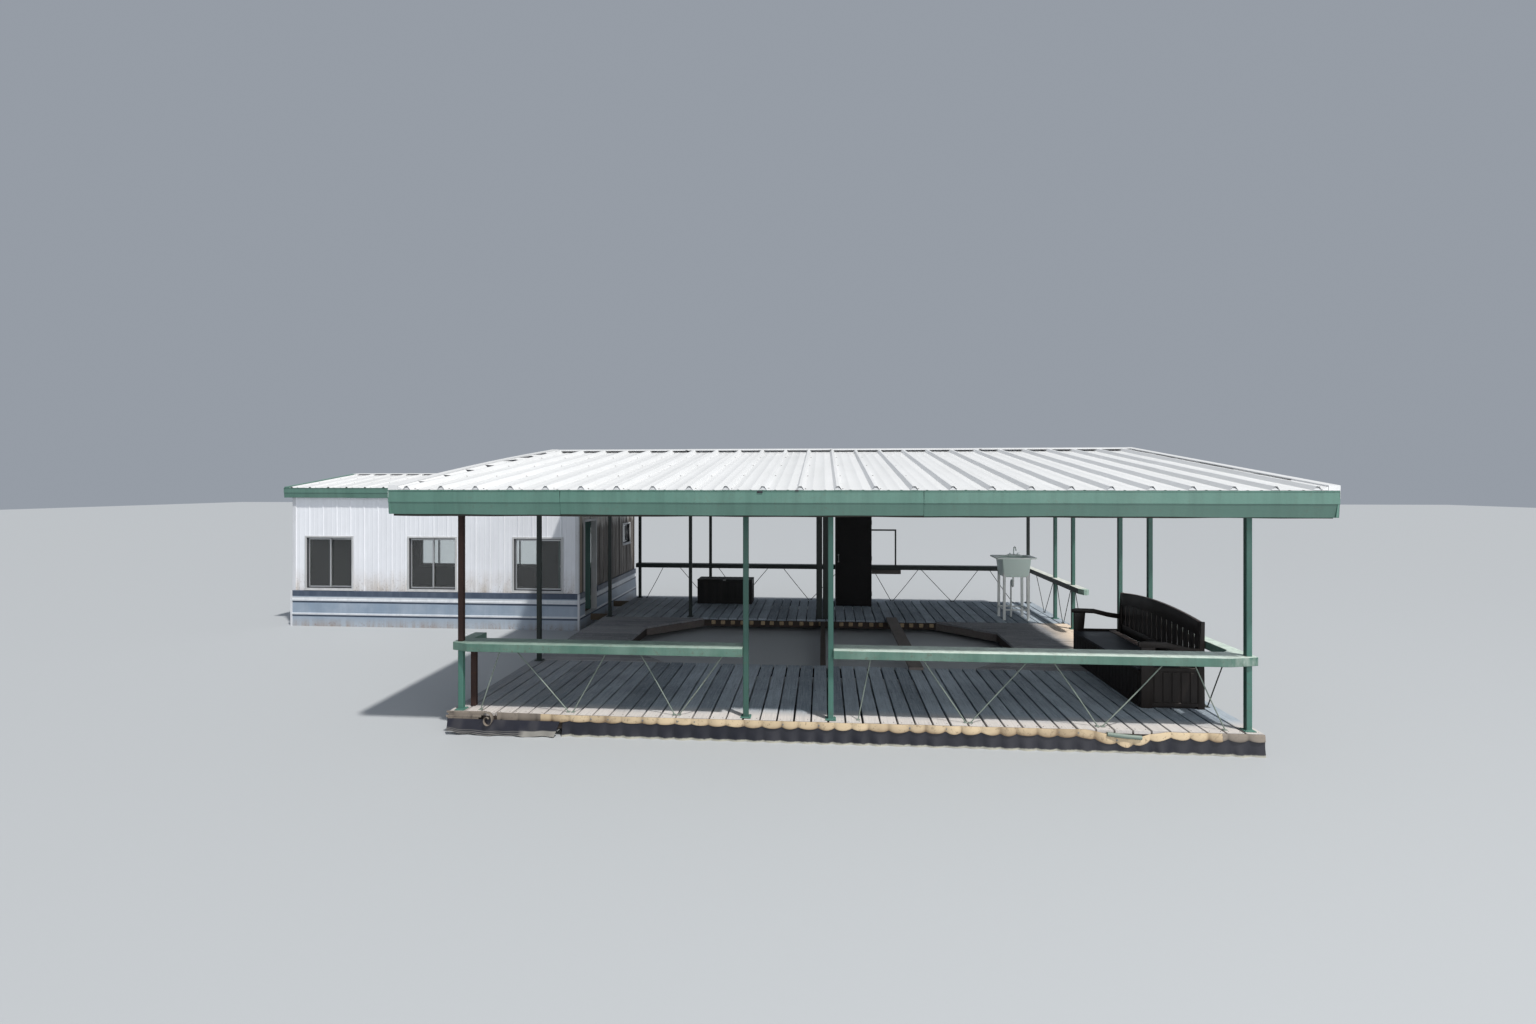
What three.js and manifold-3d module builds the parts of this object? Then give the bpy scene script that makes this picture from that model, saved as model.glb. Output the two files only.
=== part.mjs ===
// Houseboat: a covered deck float round an open well, with a small cabin float tied along its left side.
// Units are millimetres. +X runs along the deck's front edge to its right end, +Y goes back from that
// edge, +Z is up. The pieces are laid out from the middle of the deck's front edge at float bottom level,
// and the whole group is then moved so that its origin is under the middle of its box.
import * as THREE from 'three';
import { mergeVertices } from 'three/addons/utils/BufferGeometryUtils.js';
import Module from 'manifold-3d';

const wasm = await Module();
wasm.setup();

// Clearances
const TOUCH = 0.3; // left between two pieces that rest on each other
const PLAY = 6; // left round a lid or a door leaf

// Levels above the float bottoms
const FLOAT_DEPTH = 400;
const FRAME_DEPTH = 127;
const BOARD = 38;
const FRAME_BOTTOM = FLOAT_DEPTH + TOUCH;
const FRAME_TOP = FLOAT_DEPTH + FRAME_DEPTH;
const DECK = FRAME_TOP + BOARD;
const SKIRT_BOTTOM = 290;

// Deck float, with the well inside it
const DECK_HALF = 4700;
const DECK_BACK = 8400;
const WELL = { left: -3550, right: 3050, front: 2450, back: 5950, chamfer: 950 };
const BOARD_PITCH = 199;
const BOARD_GAP = 9;
const BOARD_GROOVE = 30;
const STEEL = 60; // width of the deck's steel members

// Posts and the beams on their heads
const POST = 64;
const ROW_X = 4575;
const ROW_FRONT = 100;
const ROW_BACK = 8300;
const BEAM_BOTTOM = DECK + 2430;
const BEAM_TOP = BEAM_BOTTOM + 150;

// Deck roof: a low gable with its ridge along X
const ROOF = {
  half: 5100, eave: -540, ridge: 4200, back: 8940, eaveZ: DECK + 2691, rise: 640,
  sheet: 15, pitch: 406.4, ribHeight: 30, ribFoot: 62, ribTop: 26,
};
const FASCIA = { height: 275, thick: 40, kick: 26 };

// Rails: wide flat members at hip height, braced by thin rods
const RAIL = {
  top: DECK + 835, depth: 100, width: 310, side: 155, back: 200, outX: 4660, outY: -30,
  cutRight: 330, cutLeft: 220, cutDeep: 85,
};
const ROD = 14;

// Cabin float, against the deck's left side
const CABIN = { left: -11360, right: -5160, front: 5700, back: 9900 };
const WALL = 100;
const WALL_RIB = { pitch: 304.8, height: 10, foot: 40, top: 20 };
const CABIN_ROOF = {
  left: -11460, right: -5130, eave: 5640, ridge: 7800, back: 9960, eaveZ: DECK + 2610, rise: 310,
  sheet: 60, pitch: 406.4, ribHeight: 22, ribFoot: 56, ribTop: 24,
};
const CABIN_FASCIA = { height: 180, thick: 40, clear: 13 }; // clear of the roof's leaning end face
const SKIRT = { top: DECK + 500, thick: 22 };
const WINDOW = { width: 1080, bottom: DECK + 515, height: 1140, frame: 45, proud: 18, bar: 40, glass: 6 };
const WINDOW_CENTRES = [-10555, -8285, -6015];
const SMALL_WINDOW = { centre: 9120, width: 700, bottom: DECK + 1220, height: 540 };
const DOORWAY = { from: 6060, to: 6760, height: 1950 };
const DOOR_OPEN = 80; // degrees that the leaf stands open

// Fittings on the deck
const LOCKER = { left: 130, right: 930, front: 7560, back: 8160, height: 2150, wall: 20, door: 24 };
const BENCH = {
  left: 3740, right: 4430, front: 830, back: 3040, seat: 445, wall: 25, lid: 30, top: 1070, crown: 70,
  armFront: 820, armBack: 730, armThick: 75, leg: 60, end: 40,
};
const SINK = {
  x: 3725, y: 6400, width: 580, depth: 540, rim: 1270, tub: 400, taper: 40, wall: 16, leg: 36, flange: 110,
};
const BOX = { left: -3040, right: -1780, front: 7600, back: 8100, height: 520, wall: 25, lid: 40 };

// Materials
const paint = (color, roughness, metalness = 0) =>
  new THREE.MeshStandardMaterial({ color, roughness, metalness });
const GREEN_PAINT = paint(0x4f7f72, 0.55, 0.2);
const DARK_GREEN = paint(0x2f5148, 0.55, 0.2);
const ROOF_WHITE = paint(0xe4e8ea, 0.4, 0.2);
const DECK_WOOD = paint(0x565b63, 0.85);
const FRAME_STEEL = paint(0x4a4640, 0.7, 0.6);
const FLOAT_BLACK = paint(0x1b1d1f, 0.6);
const BUMPER_TAN = paint(0xb9a27c, 0.8);
const SIDING = paint(0xd3d8e2, 0.5, 0.2);
const SKIRT_BLUE = paint(0x8a9db0, 0.55, 0.2);
const GLASS = new THREE.MeshStandardMaterial({
  color: 0x9fb3b8, roughness: 0.05, transparent: true, opacity: 0.4,
});
const LOCKER_BLACK = paint(0x17181a, 0.5);
const BENCH_BROWN = paint(0x2a2421, 0.6);
const TUB_GREEN = paint(0x9db3aa, 0.4);
const DOOR_TEAL = paint(0x5e8d8c, 0.6);

const boat = new THREE.Group();

// Names a geometry and hangs it in the boat.
function add(name, geometry, material) {
  const mesh = new THREE.Mesh(geometry, material);
  mesh.name = name;
  boat.add(mesh);
  return mesh;
}

// A box from its lowest and highest corner on each axis.
function box([x0, x1], [y0, y1], [z0, z1]) {
  const geometry = new THREE.BoxGeometry(x1 - x0, y1 - y0, z1 - z0);
  return geometry.translate((x0 + x1) / 2, (y0 + y1) / 2, (z0 + z1) / 2);
}

// An outline carried along an axis. Its points are [y, z] for x, [x, z] for y and [x, y] for z.
function prism(axis, outline, from, to) {
  const shape = new THREE.Shape(outline.map(([u, v]) => new THREE.Vector2(u, v)));
  const geometry = new THREE.ExtrudeGeometry(shape, { depth: to - from, bevelEnabled: false });
  const turn = new THREE.Matrix4();
  const [X, Y, Z] = [[1, 0, 0], [0, 1, 0], [0, 0, 1]].map((v) => new THREE.Vector3(...v));
  if (axis === 'x') turn.makeBasis(Y, Z, X).setPosition(from, 0, 0);
  if (axis === 'y') turn.makeBasis(X, Z, Y.clone().negate()).setPosition(0, to, 0);
  if (axis === 'z') turn.setPosition(0, 0, from);
  return geometry.applyMatrix4(turn);
}

// A straight square bar between two points.
function bar(a, b, thick) {
  const [start, end] = [new THREE.Vector3(...a), new THREE.Vector3(...b)];
  const length = start.distanceTo(end);
  const geometry = new THREE.BoxGeometry(thick, thick, length);
  const direction = end.clone().sub(start).normalize();
  const turn = new THREE.Quaternion().setFromUnitVectors(new THREE.Vector3(0, 0, 1), direction);
  const middle = start.add(end).multiplyScalar(0.5);
  return geometry.applyQuaternion(turn).translate(middle.x, middle.y, middle.z);
}

// A box whose foot is narrower than its top by inset on every side.
function tapered([x0, x1], [y0, y1], [z0, z1], inset) {
  const geometry = box([x0, x1], [y0, y1], [z0, z1]);
  const place = geometry.attributes.position;
  const [cx, cy, cz] = [(x0 + x1) / 2, (y0 + y1) / 2, (z0 + z1) / 2];
  for (let i = 0; i < place.count; i += 1) {
    if (place.getZ(i) < cz) {
      place.setX(i, place.getX(i) - Math.sign(place.getX(i) - cx) * inset);
      place.setY(i, place.getY(i) - Math.sign(place.getY(i) - cy) * inset);
    }
  }
  return geometry;
}

function toSolid(geometry) {
  const bare = geometry.clone();
  bare.deleteAttribute('normal');
  bare.deleteAttribute('uv');
  const whole = mergeVertices(bare, 1e-3);
  return new wasm.Manifold(new wasm.Mesh({
    numProp: 3,
    vertProperties: new Float32Array(whole.attributes.position.array),
    triVerts: new Uint32Array(whole.index.array),
  }));
}

function toGeometry(solid) {
  const mesh = solid.getMesh();
  const geometry = new THREE.BufferGeometry();
  geometry.setAttribute('position', new THREE.BufferAttribute(new Float32Array(mesh.vertProperties), 3));
  geometry.setIndex(new THREE.BufferAttribute(new Uint32Array(mesh.triVerts), 1));
  return geometry;
}

// Joins pieces into one body, and cuts others out of it.
function weld(pieces, cuts = []) {
  let solid = toSolid(pieces[0]);
  for (const piece of pieces.slice(1)) solid = solid.add(toSolid(piece));
  for (const cut of cuts) solid = solid.subtract(toSolid(cut));
  return toGeometry(solid);
}

// The outline of a sheet with raised ribs, from u = from to u = to, on the side that side (1 or -1) gives.
function ribbed(from, to, back, face, { pitch, ribHeight, ribFoot, ribTop }, side = 1) {
  const count = Math.floor((to - from - ribFoot) / pitch);
  const first = (from + to - count * pitch) / 2;
  const outline = [[from, back], [from, face]];
  for (let i = 0; i <= count; i += 1) {
    const centre = first + i * pitch;
    outline.push([centre - ribFoot / 2, face], [centre - ribTop / 2, face + side * ribHeight]);
    outline.push([centre + ribTop / 2, face + side * ribHeight], [centre + ribFoot / 2, face]);
  }
  outline.push([to, face], [to, back]);
  return outline;
}

// The outline of boards side by side: gaps are cut from above almost through.
function boards(from, to) {
  const outline = [[from, FRAME_TOP + TOUCH], [from, DECK]];
  const count = Math.round((to - from) / BOARD_PITCH);
  const pitch = (to - from) / count;
  for (let i = 1; i < count; i += 1) {
    const gap = from + i * pitch;
    outline.push([gap - BOARD_GAP / 2, DECK], [gap - BOARD_GAP / 2, DECK - BOARD_GROOVE]);
    outline.push([gap + BOARD_GAP / 2, DECK - BOARD_GROOVE], [gap + BOARD_GAP / 2, DECK]);
  }
  outline.push([to, DECK], [to, FRAME_TOP + TOUCH]);
  return outline;
}

// The two sides of a strip of some width about its middle line.
const across = (centre, width) => [centre - width / 2, centre + width / 2];

// Deck: floats
const FLOAT_EDGE = 60;
function floatSection(from, to) {
  return [
    [from + FLOAT_EDGE, 0], [to - FLOAT_EDGE, 0], [to, FLOAT_EDGE], [to, FLOAT_DEPTH],
    [from, FLOAT_DEPTH], [from, FLOAT_EDGE],
  ];
}
add('float_front', prism('x', floatSection(200, 1250), -4500, 4500), FLOAT_BLACK);
add('float_back', prism('x', floatSection(7100, 8150), -4500, 4500), FLOAT_BLACK);
add('float_left', prism('y', floatSection(-4500, -3650), 2600, 5800), FLOAT_BLACK);
add('float_right', prism('y', floatSection(3650, 4500), 2600, 5800), FLOAT_BLACK);

// Deck: steel frame, with the beam that crosses the well
const FRAME_Z = [FRAME_BOTTOM, FRAME_TOP];
const JOISTS_X = [-3133, -1567, 0, 1567, 3133];
const SIDE_JOISTS_Y = [3600, 4800];
const WELL_BEAM_X = -160;
// The spaces between members whose middle lines are at places, from one end to the other.
function bays(from, to, places, width = STEEL) {
  const edges = [from, ...places.flatMap((place) => across(place, width)), to];
  return edges.flatMap((edge, i) => (i % 2 ? [] : [[edge, edges[i + 1]]]));
}
const INSIDE_X = [-DECK_HALF + STEEL, DECK_HALF - STEEL];
const WALKWAYS_Y = [[STEEL, WELL.front - STEEL], [WELL.back + STEEL, DECK_BACK - STEEL]];
const SIDES_X = [[INSIDE_X[0], WELL.left - STEEL], [WELL.right + STEEL, INSIDE_X[1]]];
const THROUGH_FRAME = [FRAME_BOTTOM - 10, FRAME_TOP + 10];
add('deck_frame', weld(
  [box([-DECK_HALF, DECK_HALF], [0, DECK_BACK], FRAME_Z)],
  [
    ...WALKWAYS_Y.flatMap((y) => bays(...INSIDE_X, JOISTS_X).map((x) => box(x, y, THROUGH_FRAME))),
    ...SIDES_X.flatMap((x) => bays(WELL.front, WELL.back, SIDE_JOISTS_Y)
      .map((y) => box(x, y, THROUGH_FRAME))),
    ...bays(WELL.left, WELL.right, [WELL_BEAM_X], 90)
      .map((x) => box(x, [WELL.front, WELL.back], THROUGH_FRAME)),
  ],
), FRAME_STEEL);

// Deck: boards, front and back running away from the front edge, at the sides across it
add('boards_front', prism('y', boards(-DECK_HALF, DECK_HALF), 0, WELL.front), DECK_WOOD);
add('boards_back', prism('y', boards(-DECK_HALF, DECK_HALF), WELL.back, DECK_BACK), DECK_WOOD);

// The well's corners are boarded over at 45 degrees.
function corner(x, y, signX, signY) {
  const outline = [[x, y], [x + signX * WELL.chamfer, y], [x, y + signY * WELL.chamfer]];
  return prism('z', outline, FRAME_TOP + TOUCH, DECK);
}
const SIDE_FROM = WELL.front + TOUCH;
const SIDE_TO = WELL.back - TOUCH;
const LAP = 40; // how far a corner board runs in over its walkway
add('boards_left', weld([
  prism('x', boards(SIDE_FROM, SIDE_TO), -DECK_HALF, WELL.left),
  corner(WELL.left - LAP, SIDE_FROM, 1, 1),
  corner(WELL.left - LAP, SIDE_TO, 1, -1),
]), DECK_WOOD);
add('boards_right', weld([
  prism('x', boards(SIDE_FROM, SIDE_TO), WELL.right, DECK_HALF),
  corner(WELL.right + LAP, SIDE_FROM, -1, 1),
  corner(WELL.right + LAP, SIDE_TO, -1, -1),
]), DECK_WOOD);
const PLANK = { left: 1110, right: 1330 };
add('well_plank', box(
  [PLANK.left, PLANK.right], [WELL.front - 150, WELL.back + 150], [DECK + TOUCH, DECK + TOUCH + BOARD],
), DECK_WOOD);

// Front edge: a scalloped bumper strip and a rubber mat that hangs over its left end
const BUMPER = { thick: 60, top: DECK - 8, bottom: 452, wave: 12, period: 220 };
function wavy(from, to, top, bottom, wave, period) {
  const outline = [[to, top], [from, top]];
  const steps = Math.round((to - from) / (period / 4));
  for (let i = 0; i <= steps; i += 1) {
    const x = from + ((to - from) * i) / steps;
    outline.push([x, bottom + wave * Math.cos(((x - from) * 2 * Math.PI) / period)]);
  }
  return outline;
}
add('bumper_front', prism(
  'y', wavy(-DECK_HALF, DECK_HALF, BUMPER.top, BUMPER.bottom, BUMPER.wave, BUMPER.period),
  -BUMPER.thick, -TOUCH,
), BUMPER_TAN);
const MAT = { from: -4690, to: -3440, thick: 24, top: DECK - 60, bottom: 320 };
add('mat_front_left', prism(
  'y', wavy(MAT.from, MAT.to, MAT.top, MAT.bottom, 20, 500),
  -BUMPER.thick - TOUCH - MAT.thick, -BUMPER.thick - TOUCH,
), FLOAT_BLACK);

// Posts, each row welded to the beam on its heads
const BEAM_Z = [BEAM_BOTTOM, BEAM_TOP];
const INTO_BEAM = 5; // how far a post's head runs up into its beam
function post(x, y, width = POST) {
  return box(across(x, width), across(y, POST), [DECK + TOUCH, BEAM_BOTTOM + INTO_BEAM]);
}
const GATE = [-1070, -70];
const FRONT_POSTS = [-ROW_X, ...GATE, ROW_X];
const LEFT_POSTS = [2400, 5950];
const RIGHT_POSTS = [2400, 3400, 5450, 6450];
const BACK_POSTS = [-ROW_X, -2850, 700, ROW_X];
const INNER_POSTS = [[-2900, POST], [-234, 120], [-102, 120]]; // place and width; the last two stand together
const INNER_Y = 6060;
const SIDE_BEAM_Y = [ROW_FRONT + POST / 2 + TOUCH, ROW_BACK - POST / 2 - TOUCH];
const END_BEAM_X = [-ROW_X - POST / 2, ROW_X + POST / 2];
add('posts_front', weld([
  box(END_BEAM_X, across(ROW_FRONT, POST), BEAM_Z),
  ...FRONT_POSTS.map((x) => post(x, ROW_FRONT)),
]), DARK_GREEN);
add('posts_back', weld([
  box(END_BEAM_X, across(ROW_BACK, POST), BEAM_Z),
  ...BACK_POSTS.map((x) => post(x, ROW_BACK)),
]), DARK_GREEN);
add('posts_left', weld([
  box(across(-ROW_X, POST), SIDE_BEAM_Y, BEAM_Z),
  ...LEFT_POSTS.map((y) => post(-ROW_X, y)),
]), DARK_GREEN);
add('posts_right', weld([
  box(across(ROW_X, POST), SIDE_BEAM_Y, BEAM_Z),
  ...RIGHT_POSTS.map((y) => post(ROW_X, y)),
]), DARK_GREEN);
add('posts_inner', weld([
  box([-ROW_X + POST / 2 + TOUCH, ROW_X - POST / 2 - TOUCH], across(INNER_Y, POST), BEAM_Z),
  ...INNER_POSTS.map(([x, width]) => post(x, INNER_Y, width)),
]), DARK_GREEN);

// Roof: the underside of the sheets is a plane on each side of the ridge.
function roofHeight(roof, y) {
  const fromEave = y < roof.ridge ? y - roof.eave : roof.back - y;
  const run = y < roof.ridge ? roof.ridge - roof.eave : roof.back - roof.ridge;
  return roof.eaveZ + (roof.rise * fromEave) / run;
}
function roofSlope(roof) {
  const run = roof.ridge - roof.eave;
  return { angle: Math.atan2(roof.rise, run), length: Math.hypot(roof.rise, run) };
}
// Lays a flat piece, built with the eave at y = 0, on the front or the back slope.
function onFront(roof, geometry) {
  return geometry.rotateX(roofSlope(roof).angle).translate(0, roof.eave, roof.eaveZ);
}
function onBack(roof, geometry) {
  return geometry.rotateX(-roofSlope(roof).angle).translate(0, roof.back, roof.eaveZ);
}
function sheetPair(roof, left, right, prefix) {
  const { length } = roofSlope(roof);
  const outline = ribbed(left, right, TOUCH, roof.sheet, roof);
  add(`${prefix}_front`, onFront(roof, prism('y', outline, 0, length - 2)), ROOF_WHITE);
  add(`${prefix}_back`, onBack(roof, prism('y', outline, 2 - length, 0)), ROOF_WHITE);
}
sheetPair(ROOF, -ROOF.half, ROOF.half, 'roof');

// A bent band over the ribs at the ridge.
function ridgeCap(roof, left, right, half, thick) {
  const rest = (roof.sheet + roof.ribHeight) / Math.cos(roofSlope(roof).angle) + 1;
  const low = roofHeight(roof, roof.ridge - half) + rest;
  const high = roofHeight(roof, roof.ridge) + rest;
  const outline = [
    [roof.ridge - half, low], [roof.ridge, high], [roof.ridge + half, low],
    [roof.ridge + half, low + thick], [roof.ridge, high + thick], [roof.ridge - half, low + thick],
  ];
  return prism('x', outline, left, right);
}
add('ridge_cap', ridgeCap(ROOF, -ROOF.half, ROOF.half, 190, 8), ROOF_WHITE);

// Roof frame: three trusses that carry, on each slope, a flat frame of purlins
const PURLIN = { depth: 75, width: 60 };
const TRUSS = { chord: 70, rafter: 90, thick: 60, end: 100, king: 35, soffit: -20, heel: 500 };
const TRUSSES = { truss_left: -4450, truss_middle: 0, truss_right: 4450 };
const PURLINS_AT = [60, 1200, 2400, 3600, 4690];
const BARGE_RAFTER = 80; // the sloping member that ties the purlins together at each end
function truss(x) {
  const purlinDrop = PURLIN.depth / Math.cos(roofSlope(ROOF).angle) + TOUCH;
  const under = (y, drop) => [y, roofHeight(ROOF, y) - purlinDrop - drop];
  const [front, back] = [ROOF.eave + TRUSS.end, ROOF.back - TRUSS.end];
  const bottom = BEAM_TOP + TOUCH;
  const mirror = ([y, z]) => [2 * ROOF.ridge - y, z];
  const outline = [
    under(front, TRUSS.rafter), [TRUSS.soffit, bottom], mirror([TRUSS.soffit, bottom]),
    under(back, TRUSS.rafter), under(back, 0), under(ROOF.ridge, 0), under(front, 0),
  ];
  const chordTop = bottom + TRUSS.chord;
  const hole = [
    [TRUSS.heel, chordTop], [ROOF.ridge - TRUSS.king, chordTop],
    under(ROOF.ridge - TRUSS.king, TRUSS.rafter), under(TRUSS.heel, TRUSS.rafter),
  ];
  const [from, to] = across(x, TRUSS.thick);
  return weld(
    [prism('x', outline, from, to)],
    [hole, hole.map(mirror)].map((gap) => prism('x', gap, from - 5, to + 5)),
  );
}
for (const [name, x] of Object.entries(TRUSSES)) add(name, truss(x), DARK_GREEN);

// One slope's purlins, laid out flat with the eave at y = 0; way is 1 up the front slope, -1 up the back.
function purlins(way) {
  const half = ROOF.half - FASCIA.thick - 10;
  const level = [-PURLIN.depth, -0.5];
  const strip = (low, high) => [way * low, way * high].sort((a, b) => a - b);
  const ends = strip(PURLINS_AT[0], PURLINS_AT.at(-1) + PURLIN.width);
  return weld([
    ...PURLINS_AT.map((at) => box([-half, half], strip(at, at + PURLIN.width), level)),
    box([-half, -half + BARGE_RAFTER], ends, level),
    box([half - BARGE_RAFTER, half], ends, level),
  ]);
}
add('purlins_front', onFront(ROOF, purlins(1)), DARK_GREEN);
add('purlins_back', onBack(ROOF, purlins(-1)), DARK_GREEN);

// Fascias: creased boards along the eaves, plain ones up the rakes
function eaveFascia(face, inward) {
  const top = ROOF.eaveZ - 1;
  const middle = top - FASCIA.height / 2;
  const bottom = top - FASCIA.height;
  return [
    [face + inward * FASCIA.kick, top], [face, middle], [face + inward * FASCIA.kick, bottom],
    [face + inward * FASCIA.thick, bottom], [face + inward * FASCIA.thick, top],
  ];
}
add('fascia_front', prism('x', eaveFascia(ROOF.eave + 6, 1), -ROOF.half, ROOF.half), GREEN_PAINT);
add('fascia_back', prism('x', eaveFascia(ROOF.back - 6, -1), -ROOF.half, ROOF.half), GREEN_PAINT);
function rake(roof, front, back, height) {
  const edge = (y, drop) => [y, roofHeight(roof, y) - drop];
  return [
    edge(front, height), edge(roof.ridge, height), edge(back, height),
    edge(back, 1), edge(roof.ridge, 1), edge(front, 1),
  ];
}
const RAKE_ENDS = [ROOF.eave + 6 + FASCIA.thick + TOUCH, ROOF.back - 6 - FASCIA.thick - TOUCH];
const RAKE = rake(ROOF, ...RAKE_ENDS, FASCIA.height);
add('fascia_left', prism('x', RAKE, -ROOF.half, -ROOF.half + FASCIA.thick), GREEN_PAINT);
add('fascia_right', prism('x', RAKE, ROOF.half - FASCIA.thick, ROOF.half), GREEN_PAINT);

// Rails, each notched round its posts and fused to the rods below it
const RAIL_Z = [RAIL.top - RAIL.depth, RAIL.top];
const IN_X = RAIL.outX - RAIL.side;
const IN_Y = RAIL.outY + RAIL.width;
const RAIL_BACK_OUT = 2 * (ROW_BACK + ROW_FRONT) / 2 - RAIL.outY;
const RAIL_BACK_IN = RAIL_BACK_OUT - RAIL.back;
const notch = (x, y) => box(across(x, POST + 2 * TOUCH), across(y, POST + 2 * TOUCH), [DECK, BEAM_TOP]);
// A rod from under a rail down to the deck: top and foot are places along X or Y.
function rodAlongX(y, top, foot) {
  return bar([top, y, RAIL_Z[0] + 20], [foot, y, DECK + ROD], ROD);
}
function rodAlongY(x, top, foot) {
  return bar([x, top, RAIL_Z[0] + 20], [x, foot, DECK + ROD], ROD);
}
// Rod tables: [top, foot]
const RODS_FRONT_LEFT = [[-4080, -4330], [-3900, -3230], [-2750, -3170], [-2360, -1930], [-1330, -1870]];
const RODS_FRONT_RIGHT = [[400, 250], [980, 1480], [2200, 1540], [2450, 2950], [3690, 3010], [4000, 4330]];
const RODS_RIGHT_FRONT = [[500, 900], [1500, 960], [1700, 2200]];
const RODS_RIGHT_BACK = [[5340, 4960], [5560, 5960], [6340, 6010], [6560, 7100], [7700, 7150]];
const RODS_BACK = [[-4000, -4400], [-3600, -2970], [-2660, -2120], [-1460, -2070], [-1100, -500],
  [260, -440], [1010, 1430], [2070, 1480], [2130, 2830], [3440, 2880], [3700, 4220]];
const RETURN = { end: 590, x: -4490, y: 245 }; // the left rail turns the corner; a short post stands by it
add('rail_front_left', weld([
  prism('z', [
    [-RAIL.outX + RAIL.cutLeft, RAIL.outY], [GATE[0] - POST / 2 - TOUCH, RAIL.outY],
    [GATE[0] - POST / 2 - TOUCH, IN_Y], [-IN_X, IN_Y], [-IN_X, RETURN.end], [-RAIL.outX, RETURN.end],
    [-RAIL.outX, RAIL.outY + RAIL.cutDeep],
  ], ...RAIL_Z),
  box(across(RETURN.x, POST), across(RETURN.y, POST), [DECK + TOUCH, RAIL_Z[0] + 5]),
  ...RODS_FRONT_LEFT.map(([top, foot]) => rodAlongX(ROW_FRONT, top, foot)),
], [notch(-ROW_X, ROW_FRONT)]), GREEN_PAINT);
add('rail_front_right', weld([
  prism('z', [
    [GATE[1] + POST / 2 + TOUCH, RAIL.outY], [RAIL.outX - RAIL.cutRight, RAIL.outY],
    [RAIL.outX, RAIL.outY + RAIL.cutDeep], [RAIL.outX, RIGHT_POSTS[0] + 80],
    [IN_X, RIGHT_POSTS[0] + 80], [IN_X, IN_Y + 90], [IN_X - 90, IN_Y], [GATE[1] + POST / 2 + TOUCH, IN_Y],
  ], ...RAIL_Z),
  ...RODS_FRONT_RIGHT.map(([top, foot]) => rodAlongX(ROW_FRONT, top, foot)),
  ...RODS_RIGHT_FRONT.map(([top, foot]) => rodAlongY(ROW_X, top, foot)),
], [notch(ROW_X, ROW_FRONT), notch(ROW_X, RIGHT_POSTS[0])]), GREEN_PAINT);
const STUB_END = 4850;
add('rail_back', weld([
  box([-RAIL.outX, RAIL.outX], [RAIL_BACK_IN, RAIL_BACK_OUT], RAIL_Z),
  prism('z', [
    [IN_X, STUB_END + 160], [IN_X + 60, STUB_END], [RAIL.outX, STUB_END],
    [RAIL.outX, RAIL_BACK_IN + 5], [IN_X, RAIL_BACK_IN + 5],
  ], ...RAIL_Z),
  ...RODS_BACK.map(([top, foot]) => rodAlongX(ROW_BACK, top, foot)),
  ...RODS_RIGHT_BACK.map(([top, foot]) => rodAlongY(ROW_X, top, foot)),
], [
  ...BACK_POSTS.map((x) => notch(x, ROW_BACK)),
  notch(ROW_X, RIGHT_POSTS[2]), notch(ROW_X, RIGHT_POSTS[3]),
]), GREEN_PAINT);

// Locker: a tall cupboard, open at the front behind its door
const LOCKER_TOP = DECK + LOCKER.height;
add('locker_body', weld([
  box([LOCKER.left, LOCKER.right], [LOCKER.front, LOCKER.back], [DECK + TOUCH, LOCKER_TOP]),
], [
  box(
    [LOCKER.left + LOCKER.wall, LOCKER.right - LOCKER.wall],
    [LOCKER.front - 10, LOCKER.back - LOCKER.wall],
    [DECK + 60, LOCKER_TOP - LOCKER.wall],
  ),
]), LOCKER_BLACK);
add('locker_door', box(
  [LOCKER.left, LOCKER.right - 3], [LOCKER.front - PLAY - LOCKER.door, LOCKER.front - PLAY],
  [DECK + 20, LOCKER_TOP],
), LOCKER_BLACK);

// Bench: a storage box under a hinged seat, between slatted ends that carry the back
const SEAT = DECK + BENCH.seat;
add('bench_box', weld([
  box([BENCH.left, BENCH.right - TOUCH], [BENCH.front + TOUCH, BENCH.back - TOUCH], [DECK + TOUCH, SEAT]),
], [
  box(
    [BENCH.left + BENCH.wall, BENCH.right - BENCH.wall],
    [BENCH.front + BENCH.wall, BENCH.back - BENCH.wall],
    [DECK + 40, SEAT + 10],
  ),
]), BENCH_BROWN);
add('bench_seat', box(
  [BENCH.left - 20, BENCH.right - 40], [BENCH.front + PLAY, BENCH.back - PLAY],
  [SEAT + PLAY, SEAT + PLAY + BENCH.lid],
), BENCH_BROWN);
function benchEnd(from, to) {
  const [left, right] = [BENCH.left, BENCH.right + BENCH.leg];
  const [armFront, armBack] = [DECK + BENCH.armFront, DECK + BENCH.armBack];
  const outline = [
    [left, DECK + TOUCH], [right, DECK + TOUCH], [right, DECK + BENCH.top], [right - BENCH.leg, DECK + BENCH.top],
    [right - BENCH.leg, armBack], [left - 30, armFront], [left - 30, armFront - BENCH.armThick],
    [left, armFront - BENCH.armThick],
  ];
  const opening = [
    [left + 150, SEAT + 60], [right - BENCH.leg - 20, SEAT + 60],
    [right - BENCH.leg - 20, armBack - BENCH.armThick], [left + 180, armFront - BENCH.armThick - 15],
  ];
  return weld([prism('y', outline, from, to)], [prism('y', opening, from - 5, to + 5)]);
}
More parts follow.
